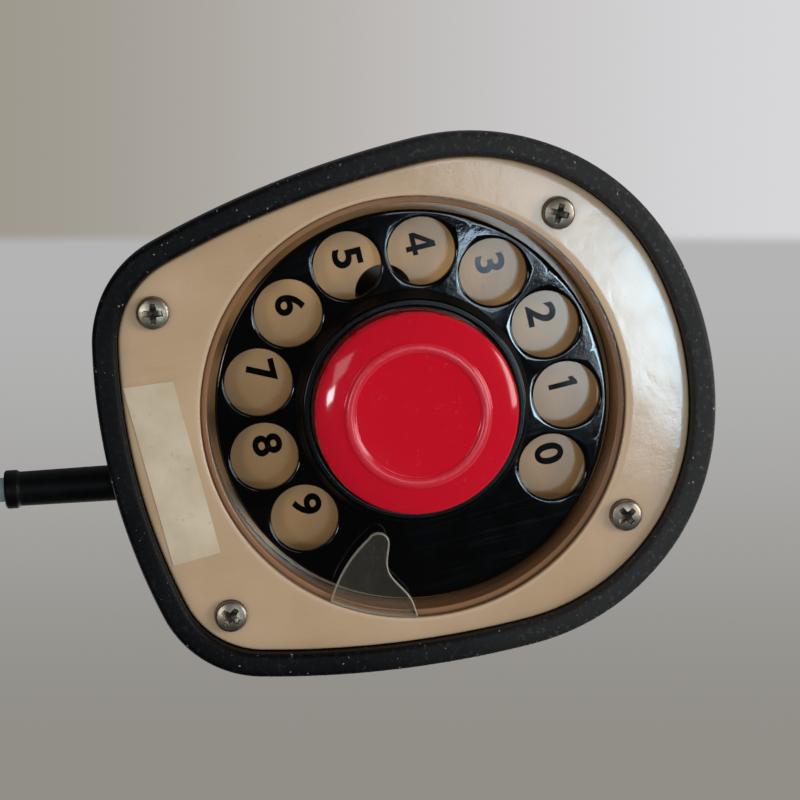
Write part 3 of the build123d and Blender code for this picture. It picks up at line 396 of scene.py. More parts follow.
across = towards(right).above(-room["spread"], room["spread"])
wall = sky.mix(room["wallLeft"], room["wallRight"], across)
depth = towards(-upward).above(*room["tableDepth"])
table = sky.mix(room["tableFar"], room["tableNear"], depth)
overEdge = towards(upward - ahead * room["horizon"]).above(-0.003, 0.004)
seen = sky.mix(room["plain"], sky.mix(table, wall, overEdge), towards((0, 0, 1)).above(0.5, 0.8))
rays = sky.tree.nodes.new("ShaderNodeLightPath")
direct, through, mirrored = (
    Field(sky, rays.outputs[f"Is {kind} Ray"]) for kind in ("Camera", "Transmission", "Glossy")
)
aloft = towards((0, 0, 1)).above(-0.35, -0.05)
inFront = towards((0, -1, 0)).above(-0.5, 0.6)
ambient = between(room["lower"], room["upper"], aloft)
windowed = between(room["mirroredDim"], room["mirroredUpper"], inFront)
glossy = between(room["mirroredLower"], windowed, aloft)
plainly = between(direct, 1, through)
background = sky.node("ShaderNodeBackground", None, {
    "Color": sky.mix(room["light"], seen, plainly),
    "Strength": between(between(ambient, glossy, mirrored), 1, plainly),
})
sky.shown(background, "ShaderNodeOutputWorld")

# lamps: place, width and height, watts, tint, and degrees that it is turned about its own aim
lamps = {
    "paneTop": ((0.133, -0.146, -1.15), (0.045, 0.03), 0.06, (0.6, 0.8, 1.0), 20),
    "paneFar": ((-0.05, -0.155, -1.15), (0.12, 0.09), 0.2, (0.78, 0.9, 1.0), 20),
    "paneMiddle": ((0.085, -0.204, -1.15), (0.13, 0.075), 0.24, (0.72, 0.88, 1.0), 20),
    "paneNear": ((0.232, -0.256, -1.15), (0.13, 0.075), 0.2, (0.85, 0.93, 1.0), 20),
    "paneBright": ((0.202, -0.28, -1.15), (0.16, 0.1), 1.05, (0.5, 0.8, 1.0), 20),
    "sideWindow": ((0.1, -1.4, -0.8), (0.8, 0.8), 15.0, (1.0, 0.985, 0.96), 0),
    "leftPane": ((-0.1, 0.57, -1.05), (0.12, 0.17), 1.4, (0.93, 0.96, 1.0), 0),
    "leftGlow": ((-0.32, 0.46, -1.1), (0.25, 0.25), 0.45, (0.97, 0.98, 1.0), 0),
    "topPanel": ((0.75, -0.3, 1.0), (0.9, 0.9), 8.0, (1.0, 0.99, 0.97), 0),
    "frontPanel": ((0.55, -1.35, 0.9), (0.9, 0.9), 7.0, (1.0, 0.99, 0.97), 0),
    "backPanel": ((0.5, 0.8, 0.8), (0.6, 0.6), 2.6, (0.96, 0.98, 1.0), 0),
}
aim = Vector((0, 0, 0.02))
for name, (at, size, watts, tint, spin) in lamps.items():
    light = bpy.data.lights.new(name, "AREA")
    light.shape = "RECTANGLE"
    light.size, light.size_y = size
    light.energy = watts
    light.color = tint
    back = (Vector(at) - aim).normalized()
    flat = Vector((math.cos(math.radians(spin)), -math.sin(math.radians(spin)), 0))
    flat = (flat - back * flat.dot(back)).normalized()
    linked(name, light).matrix_world = posed(at, flat, back.cross(flat), back)
scene.view_settings.view_transform = "Standard"
print("lit")

# the surface that it stands on, open to a view from below
floorMesh = bpy.data.meshes.new("floor")
reach = 6.0
lift = 0.00003  # keeps it out of the plane of the foot's own face
corners = [(x * reach, y * reach, lift) for x, y in ((-1, -1), (1, -1), (1, 1), (-1, 1))]
floorMesh.from_pydata(corners, [], [(0, 1, 2, 3)])
floor = linked("floor", floorMesh)
for rayKind in ("diffuse", "glossy", "transmission", "shadow"):
    setattr(floor, "visible_" + rayKind, False)
ground = Surface("floor")
fromBelow = ground.node("ShaderNodeNewGeometry", out=6)
finish = {"Base Color": room["plain"], "Roughness": 0.7}
plain = ground.node("ShaderNodeBsdfPrincipled", None, finish)
clear = ground.node("ShaderNodeBsdfTransparent")
glow = ground.node("ShaderNodeEmission", None, {"Color": room["plain"]})  # as pale as the wall
distant = ground.radius().above(0.35, 1.6)
above = ground.node("ShaderNodeMixShader", None, {0: distant, 1: plain, 2: glow})
ground.shown(ground.node("ShaderNodeMixShader", None, {0: fromBelow, 1: above, 2: clear}))
floorMesh.materials.append(ground.owner)
print("floor laid")

# cord: boot, falling run, flat coil of two layers, and the plug beside it
cordRoute = {
    "exit": (-2.671, 77.550, 11.0),
    "run": ((-5.945, 95.047, 11.0), (-14.5, 113.5, 6.8), (-22.5, 132.5, 2.3), (-27.5, 151.0, 2.3)),
    "diameter": 4.6, "length": 1.6, "centre": (2.90, 179.94), "outer": 36.9, "inner": 18.4,
    "startAngle": 195.1, "turns": 8.54, "climb": 0.4, "perTurn": 16, "low": 2.3, "high": 6.9,
    "tail": ((39.8, 168.4, 6.9), (39.8, 156.94, 6.9)),
}


def coilPoints(c):
    # clockwise turns: the radius falls evenly to the middle, climbs a layer, and grows again
    count = int(c["turns"] * c["perTurn"])
    along = np.linspace(0, 1, count + 1)
    angle = np.radians(c["startAngle"] - 360 * c["turns"] * along)
    rest = (1 - c["climb"] / c["turns"]) / 2
    inward = np.clip(np.minimum(along, 1 - along) / rest, 0, 1)
    radius = c["outer"] + (c["inner"] - c["outer"]) * inward
    rise = np.clip((along - rest) / (1 - 2 * rest), 0, 1)
    height = c["low"] + (c["high"] - c["low"]) * rise * rise * (3 - 2 * rise)
    radius = radius / math.cos(math.pi / c["perTurn"])
    return ringLoop(radius, angle, height) + [*c["centre"], 0]


def nurbs(name, points, radius):
    curve = bpy.data.curves.new(name, "CURVE")
    curve.dimensions = "3D"
    spline = curve.splines.new("NURBS")
    spline.points.add(len(points) - 1)
    spline.points.foreach_set("co", np.column_stack([points, np.ones(len(points))]).ravel())
    spline.order_u = 3
    spline.use_endpoint_u = True
    spline.resolution_u = 6
    curve.bevel_depth = radius
    curve.bevel_resolution = 5
    curve.use_fill_caps = True
    return linked(name, curve)


jacket = Surface("cordJacket")
scuff = jacket.noise(420, 4, 0.65)
jacketColour = jacket.layered(
    (104, 124, 122),
    ((124, 142, 139), jacket.noise(35, 3, 0.6).above(0.35, 0.65)),
    ((128, 136, 132), scuff.above(0.62, 0.75) * 0.4),
)
cordMaterial = jacket.finish(
    Base_Color=jacketColour,
    Roughness=scuff * 0.25 + 0.32,
    Normal=jacket.bump(scuff, 0.12, 0.0004),
)
route = [[cordRoute["exit"]], cordRoute["run"], coilPoints(cordRoute), cordRoute["tail"]]
cord = nurbs("cord", np.concatenate(route) * mm, cordRoute["diameter"] / 2 * mm)
cord.data.materials.append(cordMaterial)
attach(cord, "phone")
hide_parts("cord_tube", "cord_coil")

# plug: cross-sections along its axis, each |x/w|^n + |z/h|^n = 1
plug = {
    "axisX": 39.8, "axisZ": 6.9, "mouth": 156.94, "steps": 128, "count": 64, "lipStep": 0.02,
    # distance from the mouth, half width, half height, squareness
    "stations": (
        (0.0, 2.35, 2.35, 2.0), (0.02, 3.3, 3.3, 2.0), (0.5, 3.8, 3.8, 2.0), (10.5, 4.2, 4.2, 2.0),
        (12.6, 5.6, 4.9, 2.1), (15.5, 10.5, 6.3, 2.4), (20.0, 13.3, 6.85, 3.0),
        (28.0, 14.0, 6.9, 3.4), (40.0, 14.0, 6.9, 3.6), (48.6, 14.0, 6.9, 3.8),
        (49.7, 13.5, 6.4, 3.8), (50.0, 12.6, 5.6, 3.8),
    ),
    "ribDepth": 0.45, "ribPitch": 2.0, "ribbed": (1.5, 10.0),
    "gripDepth": 0.5, "gripPitch": 3.0, "gripped": (22, 40), "gripCrest": 23,
}


def plugGrid(p):
    # stations joined evenly, ribs round the sleeve and grooves across the grip
    rows = np.array(p["stations"])
    place = np.concatenate([[0, p["lipStep"]], np.linspace(0.1, rows[-1, 0], p["steps"])])
    wide, tall, square = (np.interp(place, rows[:, 0], rows[:, n]) for n in (1, 2, 3))

    def within(ends):
        return (place > ends[0]) * (place < ends[1])

    rib = np.cos(place * 2 * math.pi / p["ribPitch"]) > 0.1
    rib = p["ribDepth"] * rib * within(p["ribbed"])
    grip = 0.5 + 0.5 * np.cos((place - p["gripCrest"]) * 2 * math.pi / p["gripPitch"])
    grip = p["gripDepth"] * grip**3 * within(p["gripped"])
    angle = fullTurn(p["count"])[:-1]

    def bulged(wave, half):
        return np.sign(wave) * np.abs(wave) ** (2 / square[:, None]) * half[:, None]

    x = bulged(np.cos(angle), wide - rib - grip)
    z = bulged(np.sin(angle), tall - rib)
    along = p["mouth"] - place[:, None] + 0 * x
    return closed(np.stack([p["axisX"] + x, along, p["axisZ"] + z], -1))


plugFinish = Surface("plugPlastic")
speck = plugFinish.noise(900, 3, 0.6)
drift = plugFinish.noise(60).above(0.3, 0.7)
plugMaterial = plugFinish.finish(
    Base_Color=plugFinish.layered((38, 44, 44), ((56, 62, 61), drift)),
    Roughness=speck * 0.2 + 0.34,
    Normal=plugFinish.bump(speck, 0.15, 0.0003),
)
plugBody = plugGrid(plug)
plugPiece = build(
    "plugShell", [plugBody * mm], plugMaterial, "phone", ["plug_body"], 35,
    polygons=[plugBody[0, :-1] * mm, plugBody[-1, :-1] * mm],
)
# contact pins: round bars with a blunt nose, a little shorter than the solids they stand for
pins = {
    "radius": 0.002, "short": 0.0006, "count": 24,
    "nose": ((0.0009, 1), (0.0003, 0.85), (0, 0.5)),  # distance from the tip, share of the radius
}
pinLow, pinHigh = (np.array(corner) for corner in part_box("plug_pins"))
tip = pinLow[1] + pins["short"]
pinProfile = [(pins["radius"], pinHigh[1])]
pinProfile += [(pins["radius"] * share, tip + back) for back, share in pins["nose"]]
pinRound = turned(np.array(pinProfile), pins["count"])
pinGrids = [
    placed(pinRound, (x, 0, pinLow[2] + pins["radius"]), (1, 0, 0), (0, 0, 1), (0, 1, 0))
    for x in (pinLow[0] + pins["radius"], pinHigh[0] - pins["radius"])
]
pinFinish = Surface("pinBrass")
tarnish = pinFinish.noise(400, 3, 0.5)
pinMaterial = pinFinish.finish(
    Base_Color=pinFinish.layered((206, 168, 96), ((170, 132, 70), tarnish.above(0.3, 0.7))),
    Roughness=tarnish * 0.1 + 0.22,
    Metallic=1.0,
)
pinPiece = build(
    "plugPins", pinGrids, pinMaterial, "phone", ["plug_pins"],
    polygons=[grid[row, :-1] for grid in pinGrids for row in (0, -1)],
)
print("cord and plug laid")

# boot: turned rubber sleeve with a flange inside and a bead at its mouth
boot = {
    "origin": (1.1, 57.4, 11.0), "along": (-0.18395, 0.98294, 0), "inner": -7.4, "reach": 20.5,
    "flange": 4.6, "flangeThick": 2.0, "barrel": 3.35, "waist": 3.22,
    "bead": 3.6, "beadLength": 2.4, "hole": 2.32, "holeDepth": 1.0,
}
rubber = Surface("bootRubber")
dust = rubber.noise(700, 3, 0.6)
bootMaterial = rubber.finish(
    Base_Color=rubber.layered((3, 3, 3), ((12, 12, 12), dust.above(0.5, 0.8))),
    Roughness=dust * 0.2 + 0.4,
    Specular_IOR_Level=0.15,
    Normal=rubber.bump(dust, 0.1, 0.0003),
)
b = boot
barrelStart = b["inner"] + b["flangeThick"]
beadStart = b["reach"] - b["beadLength"]
holeEnd = b["reach"] - b["holeDepth"]
bootProfile = rounded([
    (0, b["inner"], 0), (b["flange"], b["inner"], 0.3), (b["flange"], barrelStart, 0.3),
    (b["barrel"], barrelStart, 0.2), (b["barrel"], 2.0, 2.0), (b["waist"], beadStart - 0.5, 0.6),
    (b["bead"], beadStart + 0.1, 0.5), (b["bead"], b["reach"], 0.6), (b["hole"], b["reach"], 0.15),
    (b["hole"], holeEnd, 0), (0, holeEnd, 0),
])
side = (-b["along"][1], b["along"][0], 0)
bootGrid = placed(turned(bootProfile, 48), b["origin"], side, (0, 0, 1), b["along"])
build("bootSleeve", [bootGrid * mm], bootMaterial, "phone", ["cord_boot"], 50)
print("boot made")

# finger wheel: a plate of ten hole sectors and one blank one, round a bore
wheel = {
    "face": 6.6, "back": 8.2, "radius": 36.9, "bore": 20.5, "edge": 0.45, "rimEdge": 0.5,
    "holeRadius": 6.3, "holePitch": 29.2, "firstHole": -52.3, "pitch": 27.8, "holes": 10,
    "outerSteps": 18, "sideSteps": 14, "innerSteps": 10, "gapSteps": 54, "lift": 5,
}


def edgeProfile(w, edge):
    # how far out from the wall and at what height, from the back face round to the front
    turn = np.linspace(0, math.pi / 2, 6)
    small = edge * 0.5
    back = np.stack([small * (1 - np.sin(turn)), w["back"] - small * (1 - np.cos(turn))], -1)
    front = np.stack([edge * (1 - np.cos(turn)), w["face"] + edge * (1 - np.sin(turn))], -1)
    return np.concatenate([back, front])


def blend(first, last, rows):
    # loops between two loops of points, both of them included
    return between(first, last, np.linspace(0, 1, rows)[:, None, None])


def wheelGrids(w):
    grids = []
    half = w["pitch"] / 2
    outerR, innerR = w["radius"] - w["rimEdge"], w["bore"] + w["edge"]
    sideR = np.linspace(outerR, innerR, w["sideSteps"] + 1)
    middles = w["firstHole"] - w["pitch"] * np.arange(w["holes"])
    profile = edgeProfile(w, w["edge"])
    up = np.array([0, 0, 1.0])

    def sector(middle, steps):
        return np.radians(np.linspace(middle - half, middle + half, steps + 1))

    for middle in middles:
        outerArc = sector(middle, w["outerSteps"])
        innerArc = sector(middle, w["innerSteps"])[::-1]
        bound = np.concatenate([
            ringLoop(outerR, outerArc, 0),
            ringLoop(sideR[1:-1], outerArc[-1], 0),
            ringLoop(innerR, innerArc, 0),
            ringLoop(sideR[-2:0:-1], innerArc[-1], 0),
        ])
        bound = np.concatenate([bound, bound[:1]])
        centre = ringLoop(w["holePitch"], math.radians(middle), 0)
        away = bound - centre
        turn = np.arctan2(away[:, 1], away[:, 0])
        walls = [centre + ringLoop(w["holeRadius"] + out, turn, height) for out, height in profile]
        back = blend(bound + up * w["back"], walls[0], w["lift"])
        front = blend(walls[-1], bound + up * w["face"], w["lift"])
        grids.append(np.concatenate([back[:-1], walls, front[1:]]))
    start, end = middles[0] + half, middles[-1] - half + 360
    gap = np.radians(np.linspace(start, end, w["gapSteps"] + 1))
    grids += [ringLoop(sideR[:, None], gap, height) for height in (w["face"], w["back"])]
    for wall, sign, edge, steps in (
        (w["radius"], -1, w["rimEdge"], w["outerSteps"]),
        (w["bore"], 1, w["edge"], w["innerSteps"]),
    ):
        sectors = [sector(middle + 360, steps)[:-1] for middle in middles[::-1]]
        angles = np.concatenate([gap[:-1], *sectors, gap[:1] + 2 * math.pi])
        profile = edgeProfile(w, edge)
        profile = np.concatenate([[(edge, profile[0, 1])], profile])
        walls = [ringLoop(wall + sign * out, angles, height) for out, height in profile]
        grids.append(np.stack(walls))
    return grids


black = Surface("blackPlastic")
haze = black.noise(90, 3, 0.55)
fine = black.noise(1500, 2, 0.5)
grit = black.noise(2600, 2, 0.5).above(0.68, 0.74)
marks = black.scratches(160, 0.5) + black.scratches(210, 2.1)
blackMaterial = black.finish(
    Base_Color=black.layered((4, 4, 4), ((40, 38, 35), grit * 0.3 + marks * 0.02)),
    Roughness=haze.above(0.3, 0.75) * 0.06 + marks * 0.03 + 0.04,
    Normal=black.bump(haze * 0.5 + fine * 0.04 - marks * 0.008, 0.06, 0.0012),
)
wheelSheets = [grid * mm for grid in wheelGrids(wheel)]
build("fingerWheel", wheelSheets, blackMaterial, "dial", ["finger_wheel"], 45)
print("finger wheel made")

# collar: turned ring between the wheel and the button, with fine tool rings
collar = {
    "bore": 19.3, "crest": 2.0, "crestOuter": 20.85, "foot": 22.0, "footZ": 6.0,
    "seat": 6.58, "spigot": 20.4, "back": 8.2,
}
c = collar
collarProfile = rounded([
    (c["bore"], c["back"], 0), (c["bore"], c["crest"], 0.4), (c["crestOuter"], c["crest"], 0.5),
    (c["foot"], c["footZ"] - 0.3, 0.4), (c["foot"], c["seat"], 0.05), (c["spigot"], c["seat"], 0),
    (c["spigot"], c["back"], 0), (c["bore"], c["back"], 0),
])
lathe = Surface("turnedBlack")
ringing = (lathe.radius() * 9000).maths("SINE")
grain = lathe.noise(1200, 2, 0.5)
flank = lathe.parts()[2].above((c["crest"] + 0.1) * mm, (c["crest"] + 1) * mm)  # dull off the crest
collarMaterial = lathe.finish(
    Base_Color=lathe.layered((2, 2, 2), ((14, 13, 12), grain.above(0.6, 0.8) * 0.4)),
    Roughness=grain * 0.1 + flank * 0.5 + 0.14,
    Specular_IOR_Level=0.25,
    Normal=lathe.bump(ringing * 0.2 + grain * 0.2, 0.08, 0.0003),
)
collarSheet = turned(collarProfile) * mm
build("wheelCollar", [collarSheet], collarMaterial, "dial", ["wheel_collar"])
print("collar made")

# button: dished centre, a raised ring worn pink, and a matte sloped shoulder
button = {
    "face": -4.0, "dish": 0.12, "ring": -4.4, "ringInner": 11.5, "ringOuter": 13.6,
    "slope": 16.2, "brow": 18.6, "radius": 18.9, "skirtEnd": 3.4, "wall": 1.6,
    "boss": 6.0, "stemHole": 4.05, "stemFloor": -0.2,
}
u = button
inside, bored = u["face"] + u["wall"], u["radius"] - u["wall"]
buttonProfile = rounded([
    (0, u["face"] + u["dish"], 0), (6.0, u["face"] + u["dish"] * 0.6, 12),
    (u["ringInner"], u["face"], 0.4), (u["ringInner"] + 0.5, u["ring"], 1.0),
    (u["ringOuter"] - 0.5, u["ring"], 1.0), (u["ringOuter"], u["face"] + 0.05, 0.5),
    (u["slope"], u["face"] + 0.55, 14.0), (u["brow"], u["face"] + 1.4, 0.8),
    (u["radius"], u["face"] + 2.4, 0.8), (u["radius"], u["skirtEnd"], 0.2),
    (bored, u["skirtEnd"], 0.2), (bored, inside + 1.2, 0), (bored - 1.2, inside, 0),
    (u["boss"], inside, 0), (u["boss"], u["skirtEnd"], 0), (u["stemHole"], u["skirtEnd"], 0),
    (u["stemHole"], u["stemFloor"], 0), (0, u["stemFloor"], 0),
])
red = Surface("redPlastic")
out = red.radius()
height = red.parts()[2]
wear = red.noise(240, 4, 0.6)
speckle = red.noise(1400, 3, 0.55)
ringMiddle = (u["ringInner"] + u["ringOuter"]) / 2 * mm
onRing = out.band(ringMiddle, 0.0007, 0.0004) * height.below(-0.0042, -0.0039)
worn = onRing * (speckle.above(0.35, 0.65) * 0.4 + 0.6)
matte = out.band(u["slope"] * mm, 0.0019, 0.0006)
dulled = matte * (0.6 + wear * 0.4)
dots = speckle.above(0.64, 0.72) * red.noise(300, 2, 0.5).above(0.4, 0.6)
redColour = red.layered(
    (192, 15, 33),
    ((186, 19, 38), dulled * 0.6),
    ((206, 52, 66), worn * 0.4),
    ((206, 96, 108), dots * 0.2 * (1 - onRing)),
)
redMaterial = red.finish(
    Base_Color=redColour,
    Roughness=dulled * 0.03 + worn * 0.2 + wear * 0.03 + 0.05,
    Normal=red.bump(speckle * (0.03 + worn * 0.1) + wear * 0.08, 0.1, 0.0004),
)
buttonSheet = turned(buttonProfile) * mm
build("pressButton", [buttonSheet], redMaterial, "plunger", ["plunger_button"], 28)
print("button made")

# base plate: foot outline to well lip, the ledge, and the well's wall
base = {
    "face": 2.6, "top": 5.0, "inset": 4.65, "edge": 0.5, "lip": 39.7, "lipEdge": 0.3,
    "ledge": 3.9, "well": 38.4, "wellEdge": 0.25, "wellRows": (7.0, 10.0), "wellTop": 13.1,
    "outer": 40.4, "acrossRows": 10, "backRows": 3,
    "lugPitch": 41.7, "lugRadius": 2.4, "lugAngles": (90, 210, 330),
}


def outlineLoop(inset, height):
    return rimGrid(np.array([[inset, height]]))[0] / mm


def plateGrid(p):
    turn = np.linspace(0, math.pi / 2, 6)
    rows = [outlineLoop(p["inset"], p["top"])]
    for t in turn:
        rise = p["edge"] * (1 - math.sin(t))
        rows.append(outlineLoop(p["inset"] + p["edge"] * (1 - math.cos(t)), p["face"] + rise))
    bound = rows[-1]
    angles = np.arctan2(bound[:, 1], bound[:, 0])

    def ring(radius, height):
        rows.append(ringLoop(radius, angles, height))

    def edged(radius, height, edge):  # a face's inner edge, rounded down to its wall
        for t in turn[1:]:
            ring(radius + edge * (1 - math.sin(t)), height + edge * (1 - math.cos(t)))

    lip = ringLoop(p["lip"] + p["lipEdge"], angles, p["face"])
    rows += list(blend(bound, lip, p["acrossRows"]))[1:]
    edged(p["lip"], p["face"], p["lipEdge"])
    ring(p["lip"], p["ledge"])
    ring(p["well"] + p["wellEdge"], p["ledge"])
    edged(p["well"], p["ledge"], p["wellEdge"])
    for height in (*p["wellRows"], p["wellTop"]):
        ring(p["well"], height)
    ring(p["outer"], p["wellTop"])
    ring(p["outer"], p["top"])
    rows += list(blend(rows[-1], rows[0], p["backRows"]))[1:]
    return closed(np.stack(rows))


tan = Surface("platePlastic")
cloud = tan.noise(28, 4, 0.55)
mottle = tan.noise(190, 4, 0.6)
grit = tan.noise(1900, 3, 0.6)
flat = tan.dot(tan.normal(), (0, 0, -1)).above(0.8, 0.97)
stain = tan.noise(55, 3, 0.5, bend=0.4).above(0.55, 0.75)
# darker and mottled wherever the surface turns away from the plate's flat face
offFlatDarkening = (1 - flat) * mottle.above(0.35, 0.7)
# painted highlight: a paler line along the rounded edge of the well's lip
rim = tan.radius().band((base["lip"] + base["lipEdge"]) * mm, 0.0003, 0.0002) * flat
# painted shade: every face set back from the plate's face, the ledge and the well's wall, darkened
# deep brown
wellShade = tan.parts()[2].above((base["face"] + 0.3) * mm, (base["ledge"] - 0.2) * mm)
# painted shade: a thin dark line in the corner where the lip's wall meets the ledge
creviceShade = tan.radius().band(0.03965, 0.00015, 0.0003) * tan.parts()[2].above(0.0034, 0.0038)
scar = tan.scratches(140, 0.9, 0.014) + tan.scratches(190, 2.4, 0.012)
tanColour = tan.layered(
    (187, 158, 127),
    ((174, 145, 113), cloud.above(0.35, 0.7)),
    ((163, 135, 96), stain * 0.4 + offFlatDarkening * 0.5),
    ((120, 94, 66), grit.above(0.66, 0.74) * 0.45),
    # paler scratches, and the painted highlight along the lip
    ((206, 184, 156), scar * 0.04 + rim * 0.2),
    # the painted shade of the well
    ((126, 86, 54), wellShade * 0.9),
    # the painted shade in the ledge's corner
    ((62, 40, 24), creviceShade * 0.7),
)
tanMaterial = tan.finish(
    Base_Color=tanColour,
    Roughness=mottle * 0.1 + scar * 0.03 + 0.08,
    Normal=tan.bump(mottle * 0.3 + cloud + grit * 0.04 - scar * 0.01, 0.08, 0.0016),
)
lugRadius, lugEnds = base["lugRadius"], (base["top"], base["wellTop"])
lugProfile = np.array([(0, lugEnds[0]), *((lugRadius, z) for z in lugEnds), (0, lugEnds[1])])
plateSheets = [plateGrid(base)]
for angle in base["lugAngles"]:
    middle = ringLoop(base["lugPitch"], math.radians(angle), 0)
    plateSheets.append(turned(lugProfile, 24) + middle)
plateSheets = [sheet * mm for sheet in plateSheets]
build("basePlate", plateSheets, tanMaterial, "phone", ["base_plate"])
print("base plate made")

# foot ring: a closed profile carried round the outline, its wearing edge rounded
foot = {
    "width": 4.5, "height": 5.0, "edge": 1.1, "topEdge": 0.35, "upstand": 1.2,
    "upstandWidth": 0.55, "seam": 2.5,
}
f = foot
crest, step = f["height"] + f["upstand"], f["width"] - f["upstandWidth"]
footProfile = rounded([
    (f["width"], f["seam"], 0), (f["width"], crest, 0.2), (step, crest, 0.2),
    (step, f["height"], 0.1), (0, f["height"], f["topEdge"]), (0, 0, f["edge"]),
    (f["width"], 0, f["edge"]), (f["width"], f["seam"], 0),
])
sole = Surface("footRubber")
gritty = sole.noise(850, 4, 0.65)
dusty = sole.noise(70, 4, 0.6)
litSideAndDust = (sole.parts()[1] * -1).above(-0.03, 0.045)  # paler grey on the -Y side, toward the window lamps: partly dust and rubbing, partly painted sheen
soleColour = sole.layered(
    (4, 4, 5),
    ((10, 10, 11), dusty.above(0.35, 0.7)),
    ((56, 54, 52), litSideAndDust * 0.55),
    ((96, 92, 86), gritty.above(0.53, 0.68) * (litSideAndDust * 0.25 + 0.06)),
    ((168, 162, 152), sole.noise(1100, 2, 0.5).above(0.7, 0.76) * 0.6),
)
soleMaterial = sole.finish(
    Base_Color=soleColour,
    Roughness=gritty * 0.2 + 0.38,
    Specular_IOR_Level=0.13,
    Normal=sole.bump(gritty * 0.6 + sole.noise(2600, 2, 0.5) * 0.3, 0.16, 0.0005),
)
footSheet = closed(rimGrid(footProfile))
build("footRing", [footSheet], soleMaterial, "phone", ["foot_ring"], 45)
print("foot ring made")

# screws: domed heads by polar grid, a tapered cross cut in each, and their shanks
screws = {
    "places": ((-29.3, -34.1, 0.5), (29.3, -34.1, 1.1), (-29.3, 42.4, 0.2), (29.3, 42.4, 0.85)),
    "face": 0.8, "seatZ": 2.6, "head": 3.05, "dome": 0.55, "edge": 0.5, "armLength": 1.7,
    "armWidth": 0.5, "depth": 1.25, "softSide": 0.12, "softEnd": 0.18, "shank": 1.5,
    "shankEnd": 13.6, "point": 1.5, "around": 128, "rings": 34,
}


def screwGrid(s, x, y, turn):
    # a dome less a cross whose arms taper in width and depth, its rim rounded, and the shank
    start = s["head"] - s["edge"]
    rim = start + s["edge"] * np.sin(np.linspace(0.2, math.pi / 2, 6))
    radius = np.concatenate([np.linspace(0, start, s["rings"]), rim])[:, None]
    angle = fullTurn(s["around"])[None]
    beyond = ((radius - start) / s["edge"]).clip(0, 1)
    height = s["face"] + s["dome"] * (radius / s["head"]) ** 2.2
    height = height + s["edge"] * (1 - np.sqrt(1 - beyond**2))
    armA = np.abs(radius * np.cos(angle - turn))
    armB = np.abs(radius * np.sin(angle - turn))
    along, across = np.maximum(armA, armB), np.minimum(armA, armB)
    width = s["armWidth"] * (1.15 - 0.25 * along / s["armLength"])
    inArm = np.clip((width - across) / s["softSide"] + 0.5, 0, 1)
    inArm = inArm * np.clip((s["armLength"] - along) / s["softEnd"] + 0.5, 0, 1)
    cone = np.clip(1 - along / s["armLength"] * 0.55, 0, 1)
    top = ringLoop(radius, angle, height + s["depth"] * cone * inArm)
    shank = ((s["head"], s["seatZ"]), (s["shank"], s["seatZ"]),
             (s["shank"], s["shankEnd"] - s["point"]), (0, s["shankEnd"]))
    return np.concatenate([top, turned(np.array(shank), s["around"])]) + [x, y, 0]


steel = Surface("screwSteel")
tarnish = steel.noise(420, 4, 0.6)
rust = steel.noise(900, 3, 0.6).above(0.6, 0.72)
# painted shade, with some grime: the cross cut in each head darkened near to black and made less
# metallic
recessShadeAndGrime = steel.parts()[2].above(0.00145, 0.00175)
steelColour = steel.layered(
    (206, 190, 166),
    ((150, 142, 128), tarnish.above(0.35, 0.65)),
    ((112, 84, 58), rust * 0.5),
    ((34, 26, 19), recessShadeAndGrime * 0.95),
)
steelMaterial = steel.finish(
    Base_Color=steelColour,
    Metallic=1 - (rust * 0.6 + recessShadeAndGrime * 0.4),
    Roughness=tarnish * 0.3 + 0.24,
    Normal=steel.bump(tarnish, 0.15, 0.0003),
)
screwGrids = [screwGrid(screws, *place) * mm for place in screws["places"]]
build("baseScrews", screwGrids, steelMaterial, "phone", ["base_screws"])
print("screws made")

# finger stop: a clear tongue, its outline inset to round every edge
stop = {
    "back": 3.9, "thickness": 1.6, "root": 39.6, "rootFrom": 12.2, "rootTo": 36.9,
    "backPoint": (24.6, 18.2), "tip": ((21.6, 14.0), (21.2, 11.4), (23.6, 10.4)),
    "hollow": ((28.8, 11.7), (34.6, 8.9)), "edge": 0.55,
}


def arcThrough(first, middle, last, count):
    # the circle through three points, walked from the first to the last
    first, middle, last = (np.array(point, float) for point in (first, middle, last))
    sides = 2 * np.array([middle - first, last - first])
    centre = np.linalg.solve(sides, [middle @ middle - first @ first, last @ last - first @ first])
    start, through, end = (math.atan2(*(point - centre)[::-1]) for point in (first, middle, last))
    sweep = (end - start) % (2 * math.pi)
    if (through - start) % (2 * math.pi) > sweep:
        sweep -= 2 * math.pi
    turn = start + sweep * np.linspace(0, 1, count)
    return centre + ringLoop(np.linalg.norm(first - centre), turn, 0)[:, :2]


def splineThrough(points, count):
    # cubic pieces whose slope at each point follows its neighbours
    points = np.array(points, float)
    slopes = np.gradient(points, axis=0)
    share = np.linspace(0, 1, count, endpoint=False)[:, None]
    reached = share**2 * (3 - 2 * share)
    leaving, arriving = share * (1 - share) ** 2, share**2 * (share - 1)
    parts = [
        between(start, end, reached) + leave * leaving + arrive * arriving
        for start, end, leave, arrive in zip(points, points[1:], slopes, slopes[1:])
    ]
    return np.concatenate(parts + [points[-1:]])


def insetLoop(loop, amount):
    ahead = np.roll(loop, -1, 0) - np.roll(loop, 1, 0)
    ahead /= np.linalg.norm(ahead, axis=1)[:, None]
    return loop + amount * np.stack([-ahead[:, 1], ahead[:, 0]], -1)


def stopLoop(s):
    turn = np.radians(np.linspace(s["rootFrom"], s["rootTo"], 20))
    root = ringLoop(s["root"], turn, 0)[:, :2]
    back = arcThrough(root[-1], s["backPoint"], s["tip"][0], 24)
    tip = arcThrough(*s["tip"], 16)
    front = splineThrough([s["tip"][-1], *s["hollow"], root[0]], 12)
    return np.concatenate([root[:-1], back[:-1], tip[:-1], front[:-1]])


